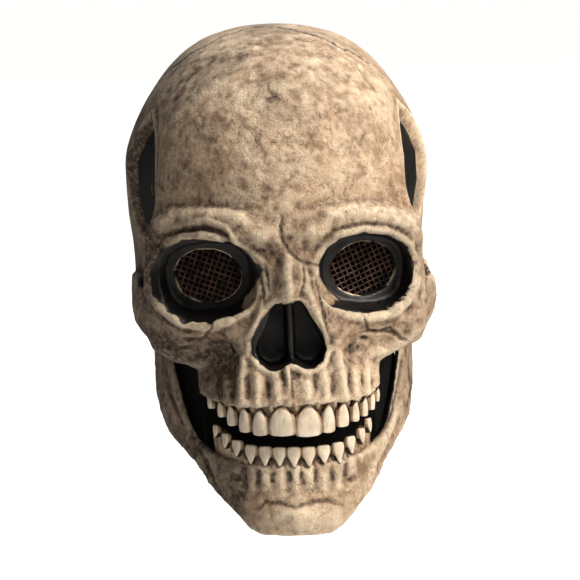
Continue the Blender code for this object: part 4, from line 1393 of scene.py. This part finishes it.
@dataclass
class EyeNet:
    """The woven net behind one eye hole, glued to the back of the socket's floor."""

    side: Side
    pitch: float = 0.0030
    strand: float = 0.00075
    turn: float = 20.0

    def build(self) -> bpy.types.Object:
        """Models the strands inside the CAD screen's outline.

        Returns:
            The dressed net.
        """
        node = f"eye_screen_{self.side.name.lower()}"
        low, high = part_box(node)
        centre = (low + high) / 2
        half_x, half_z = (high.x - low.x) / 2, (high.z - low.z) / 2
        slope = (high.y - low.y) / (high.x - low.x) * 0.92 * self.side.value
        bm = bmesh.new()
        turn = math.radians(self.turn * self.side.value)
        reach = int(max(half_x, half_z) / self.pitch) + 1
        steps = 44
        for way in (0, 1):
            for line in range(-reach, reach + 1):
                run = []
                for k in range(steps + 1):
                    s = (2 * k / steps - 1) * max(half_x, half_z)
                    u, v = (s, line * self.pitch) if way == 0 else (line * self.pitch, s)
                    px = u * math.cos(turn) - v * math.sin(turn)
                    pz = u * math.sin(turn) + v * math.cos(turn)
                    if (px / (half_x - self.strand)) ** 2 + (pz / (half_z - self.strand)) ** 2 < 1:
                        lift = 0.00022 * math.cos(math.pi * (s / self.pitch + line)) * (1 if way == 0 else -1)
                        run.append((px, pz, lift))
                if len(run) < 3:
                    continue
                self.strip(bm, run, centre, slope, turn + (math.pi / 2 if way else 0))
        self.hem(bm, centre, slope, half_x, half_z)
        bmesh.ops.recalc_face_normals(bm, faces=bm.faces)
        mesh = bpy.data.meshes.new(f"eye_net_{self.side.name.lower()}")
        bm.to_mesh(mesh)
        bm.free()
        piece = bpy.data.objects.new(mesh.name, mesh)
        bpy.context.scene.collection.objects.link(piece)
        mesh.shade_smooth()
        dress(piece, WovenNet(), Body.SKULL, "screen", node)
        return piece

    def strip(
        self,
        bm: bmesh.types.BMesh,
        run: list[tuple[float, float, float]],
        centre: Vector,
        slope: float,
        turn: float,
    ) -> None:
        """Adds one strand as a thin square bar along the run.

        Args:
            bm: the mesh that it is added to.
            run: the strand's centre line: across, up and lift, in metres.
            centre: the net's middle.
            slope: how far the net turns back with x.
            turn: the strand's direction, in radians.
        """
        half = self.strand / 2
        nx, nz = -math.sin(turn) * half, math.cos(turn) * half
        loops = []
        for px, pz, lift in run:
            y = centre.y + slope * px + lift
            ring = []
            for sign, depth in ((-1, -1), (1, -1), (1, 1), (-1, 1)):
                x, z = centre.x + px + sign * nx, centre.z + pz + sign * nz
                ring.append(bm.verts.new((x, y + depth * half * 0.6, z)))
            loops.append(ring)
        for near, far in zip(loops, loops[1:]):
            for i in range(4):
                j = (i + 1) % 4
                bm.faces.new((near[i], near[j], far[j], far[i]))
        bm.faces.new(loops[0][::-1])
        bm.faces.new(loops[-1])

    def hem(self, bm: bmesh.types.BMesh, centre: Vector, slope: float, half_x: float, half_z: float) -> None:
        """Adds the glued edge round the net.

        Args:
            bm: the mesh that it is added to.
            centre: the net's middle.
            slope: how far the net turns back with x.
            half_x: half its width, in metres.
            half_z: half its height, in metres.
        """
        sides, loops = 72, []
        for k in range(sides):
            a = 2 * math.pi * k / sides
            ring = []
            for grow, depth in ((-0.0022, -0.0005), (0.0, -0.0005), (0.0, 0.0005), (-0.0022, 0.0005)):
                px, pz = (half_x + grow) * math.cos(a), (half_z + grow) * math.sin(a)
                ring.append(bm.verts.new((centre.x + px, centre.y + slope * px + depth, centre.z + pz)))
            loops.append(ring)
        for near, far in zip(loops, loops[1:] + loops[:1]):
            for i in range(4):
                j = (i + 1) % 4
                bm.faces.new((near[i], near[j], far[j], far[i]))


@dataclass
class MouthCloth:
    """The black cloth behind both tooth rows, with a wing along the inside of the jaw."""

    thickness: float = 0.0007
    sway: float = 0.0003
    course: tuple[tuple[float, float, float, float], ...] = (
        (0.0, -66.0, -185.0, -254.0),
        (30.2, -66.0, -185.0, -254.0),
        (42.6, -66.0, -185.0, -249.0),
        (43.8, -66.0, -184.0, -246.0),
        (49.3, -66.2, -176.5, -229.0),
        (45.3, -63.8, -176.5, -239.0),
        (45.9, -62.4, -176.5, -239.5),
        (49.0, -58.9, -176.5, -239.5),
        (51.9, -55.2, -176.5, -239.5),
        (54.4, -51.6, -176.5, -239.5),
        (57.0, -48.0, -176.5, -239.5),
        (59.2, -44.6, -176.5, -239.5),
        (61.2, -41.6, -176.5, -239.5),
        (63.0, -38.5, -176.5, -236.0),
    )

    def build(self) -> bpy.types.Object:
        """Hangs the sheet in the space of its CAD solid.

        Returns:
            The dressed cloth.
        """
        half = np.array(self.course) * MM
        rows = np.concatenate([half[:0:-1] * np.array([-1, 1, 1, 1]), half])
        steps = np.hypot(*np.diff(rows[:, :2], axis=0).T)
        along = np.concatenate([[0.0], np.cumsum(steps)])
        columns, lines = 220, 40
        deselect()
        bpy.ops.mesh.primitive_grid_add(x_subdivisions=columns, y_subdivisions=lines, size=2)
        piece = bpy.context.object
        piece.name = piece.data.name = "hung_mouth_cloth"
        for vertex in piece.data.vertices:
            place = (vertex.co.x + 1) / 2 * along[-1]
            down = (1 - vertex.co.y) / 2
            x, y, high, low = (np.interp(place, along, rows[:, k]) for k in range(4))
            fold = self.sway * math.sin(place * 420 + 3 * down) * down
            vertex.co = (x, y + fold, high + (low - high) * down)
        apply_modifier(piece, "SOLIDIFY", thickness=self.thickness, offset=0.0)
        piece.data.shade_smooth()
        dress(piece, BlackCloth(), None, "cloth", "mouth_cloth")
        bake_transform(piece)
        return piece


@dataclass
class HingeRivet:
    """The rivet through the jaw's hinge on one side."""

    side: Side
    head: float = 0.0062
    head_height: float = 0.0019
    shank: float = 0.0028

    def build(self) -> bpy.types.Object:
        """Turns the rivet from a cylinder with two domed heads.

        Returns:
            The dressed rivet.
        """
        node = f"hinge_pin_{self.side.name.lower()}"
        low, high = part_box(node)
        centre = (low + high) / 2
        length = high.x - low.x
        deselect()
        bpy.ops.mesh.primitive_cylinder_add(vertices=32, radius=self.shank, depth=length - 0.003)
        piece = bpy.context.object
        piece.name = piece.data.name = f"rivet_{self.side.name.lower()}"
        heads = []
        for way in (-1, 1):
            place = (0, 0, way * (length - self.head_height) / 2)
            bpy.ops.mesh.primitive_cylinder_add(
                vertices=40, radius=self.head, depth=self.head_height, location=place
            )
            head = bpy.context.object
            bpy.ops.object.transform_apply(location=True, rotation=True, scale=True)
            apply_modifier(head, "BEVEL", width=0.0008, segments=3, limit_method="ANGLE")
            heads.append(head)
        pick(piece)
        for head in heads:
            head.select_set(True)
        bpy.context.view_layer.objects.active = piece
        bpy.ops.object.join()
        piece.data.transform(Matrix.Translation(centre) @ Matrix.Rotation(math.pi / 2, 4, "Y"))
        pick(piece)
        bpy.ops.object.shade_smooth_by_angle(angle=math.radians(40))
        return dress(piece, BlackedSteel(), Body.SKULL, "pin", node)


@dataclass
class Studio:
    """The camera, the floor and the lights."""

    target: Vector = field(default_factory=lambda: Vector((0, -0.045, -0.1461)))
    distance: float = 1.300
    azimuth: float = -2.5
    elevation: float = 8.0
    roll: float = -2.35
    pixel: float = 0.575e-3
    centre_px: tuple[float, float] = (283.5, 285.0)
    image: float = 580.0
    floor_z: float = -0.60
    ambient: float = 0.07

    def camera(self) -> None:
        """Puts the camera where the photograph was taken from."""
        turn, rise = math.radians(self.azimuth), math.radians(self.elevation)
        back = Vector((math.sin(turn) * math.cos(rise), -math.cos(turn) * math.cos(rise), math.sin(rise)))
        data = bpy.data.cameras.new("camera")
        camera = bpy.data.objects.new("camera", data)
        bpy.context.scene.collection.objects.link(camera)
        data.sensor_width = 36.0
        data.lens = 36.0 * self.distance / (self.image * self.pixel)
        data.shift_x = (self.image / 2 - self.centre_px[0]) / self.image
        data.shift_y = -(self.image / 2 - self.centre_px[1]) / self.image
        data.clip_start, data.clip_end = 0.05, 50.0
        aim = (-back).to_track_quat("-Z", "Y").to_matrix().to_4x4()
        roll = Matrix.Rotation(math.radians(self.roll), 4, "Z")
        camera.matrix_world = Matrix.Translation(self.target + back * self.distance) @ aim @ roll
        bpy.context.scene.camera = camera

    def floor(self) -> None:
        """Lays a pale floor that fades into the backdrop."""
        deselect()
        bpy.ops.mesh.primitive_plane_add(size=24, location=(0, 0, 0))
        floor = bpy.context.object
        floor.name = floor.data.name = "floor"
        floor.data.transform(Matrix.Translation((0, 0, self.floor_z)))
        floor.data.materials.append(PaleFloor().made())
        floor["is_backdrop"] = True

    def light(
        self, name: str, place: tuple[float, float, float], size: float, watts: float, colour: str
    ) -> None:
        """Hangs one soft box that looks at the mask.

        Args:
            name: the light's name.
            place: where it hangs.
            size: its side, in metres.
            watts: its power.
            colour: its sRGB hex colour.
        """
        data = bpy.data.lights.new(name, "AREA")
        data.size, data.energy = size, watts
        data.color = srgb(colour)[:3]
        lamp = bpy.data.objects.new(name, data)
        bpy.context.scene.collection.objects.link(lamp)
        lamp.location = place
        lamp.rotation_euler = (self.target - Vector(place)).to_track_quat("-Z", "Y").to_euler()

    def build(self) -> None:
        """Sets up camera, floor, world and lights."""
        self.camera()
        self.floor()
        world = bpy.data.worlds.new("studio")
        bpy.context.scene.world = world
        world.use_nodes = True
        tree = world.node_tree
        tree.nodes.clear()
        seen = add_node(tree, "ShaderNodeLightPath", {}).outputs["Is Camera Ray"]
        glow = add_node(tree, "ShaderNodeBackground", {"Color": srgb("FFFFFF"), "Strength": self.ambient})
        paper = add_node(tree, "ShaderNodeBackground", {"Color": srgb("FFFFFD"), "Strength": 1.0})
        sky = add_node(tree, "ShaderNodeMixShader", {0: seen, 1: glow.outputs[0], 2: paper.outputs[0]})
        add_node(tree, "ShaderNodeOutputWorld", {"Surface": sky.outputs[0]})
        self.light("key", (1.12, -0.76, 0.82), 0.55, 34.0, "FFF4E8")
        self.light("front", (0.25, -1.30, 0.60), 0.5, 3.5, "FFF8F0")
        self.light("top", (0.2, 0.1, 1.2), 0.8, 6.0, "FFFFFF")
        self.light("sweep", (0.0, 3.0, 2.5), 3.0, 30.0, "FFFFFF")
        bpy.context.scene.view_settings.view_transform = "Standard"


UPPER_CROWNS = (
    ToothPlan(-45.5, 6.0, -200.5, -207.0),
    ToothPlan(-40.0, 6.0, -201.5, -210.5),
    ToothPlan(-34.5, 6.5, -202.5, -214.5),
    ToothPlan(-27.5, 7.4, -203.0, -217.5),
    ToothPlan(-19.3, 9.0, -204.0, -218.8),
    ToothPlan(-7.2, 14.4, -202.0, -219.0),
    ToothPlan(7.4, 14.4, -202.0, -220.0),
    ToothPlan(18.6, 8.0, -202.5, -219.0),
    ToothPlan(27.0, 8.0, -203.0, -217.0),
    ToothPlan(34.3, 6.0, -203.5, -215.5),
    ToothPlan(40.0, 6.0, -203.0, -214.0),
    ToothPlan(44.8, 6.0, -202.0, -212.0),
    ToothPlan(48.5, 5.0, -201.0, -209.0),
)
LOWER_CROWNS = (
    ToothPlan(-43.0, 6.0, -225.0, -217.5),
    ToothPlan(-38.0, 6.5, -230.0, -221.0),
    ToothPlan(-32.0, 7.0, -234.0, -224.0),
    ToothPlan(-24.5, 7.4, -237.5, -226.0),
    ToothPlan(-16.8, 7.4, -238.5, -226.5),
    ToothPlan(-9.0, 7.6, -238.5, -227.0),
    ToothPlan(-1.0, 7.8, -239.5, -227.0),
    ToothPlan(7.2, 7.8, -239.5, -227.5),
    ToothPlan(15.8, 7.8, -238.5, -227.5),
    ToothPlan(24.2, 7.4, -239.5, -227.0),
    ToothPlan(31.5, 7.0, -235.5, -225.0),
    ToothPlan(38.2, 6.5, -231.5, -222.0),
    ToothPlan(43.0, 6.0, -226.5, -218.0),
)


def main() -> None:
    """Builds the mask, piece by piece, and the studio round it."""
    logging.basicConfig(level=logging.INFO, format="%(name)s: %(message)s")
    Studio().build()
    SkullShell().build()
    LowerJaw().build()
    ToothRow(Row.UPPER, Body.SKULL, "upper_teeth", UPPER_CROWNS, 0.0515, 0.054, 0.66, 0.24, -200.0).build()
    ToothRow(Row.LOWER, Body.JAW, "lower_teeth", LOWER_CROWNS, 0.0485, 0.0455, 0.50, 0.42, -240.0).build()
    MouthCloth().build()
    for side in Side:
        EyeNet(side).build()
        HingeRivet(side).build()


def corners() -> list[list[float]]:
    """The shown object's box as plain lists."""
    return [list(corner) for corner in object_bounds()]


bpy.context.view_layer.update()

if __name__ == "__main__":
    main()
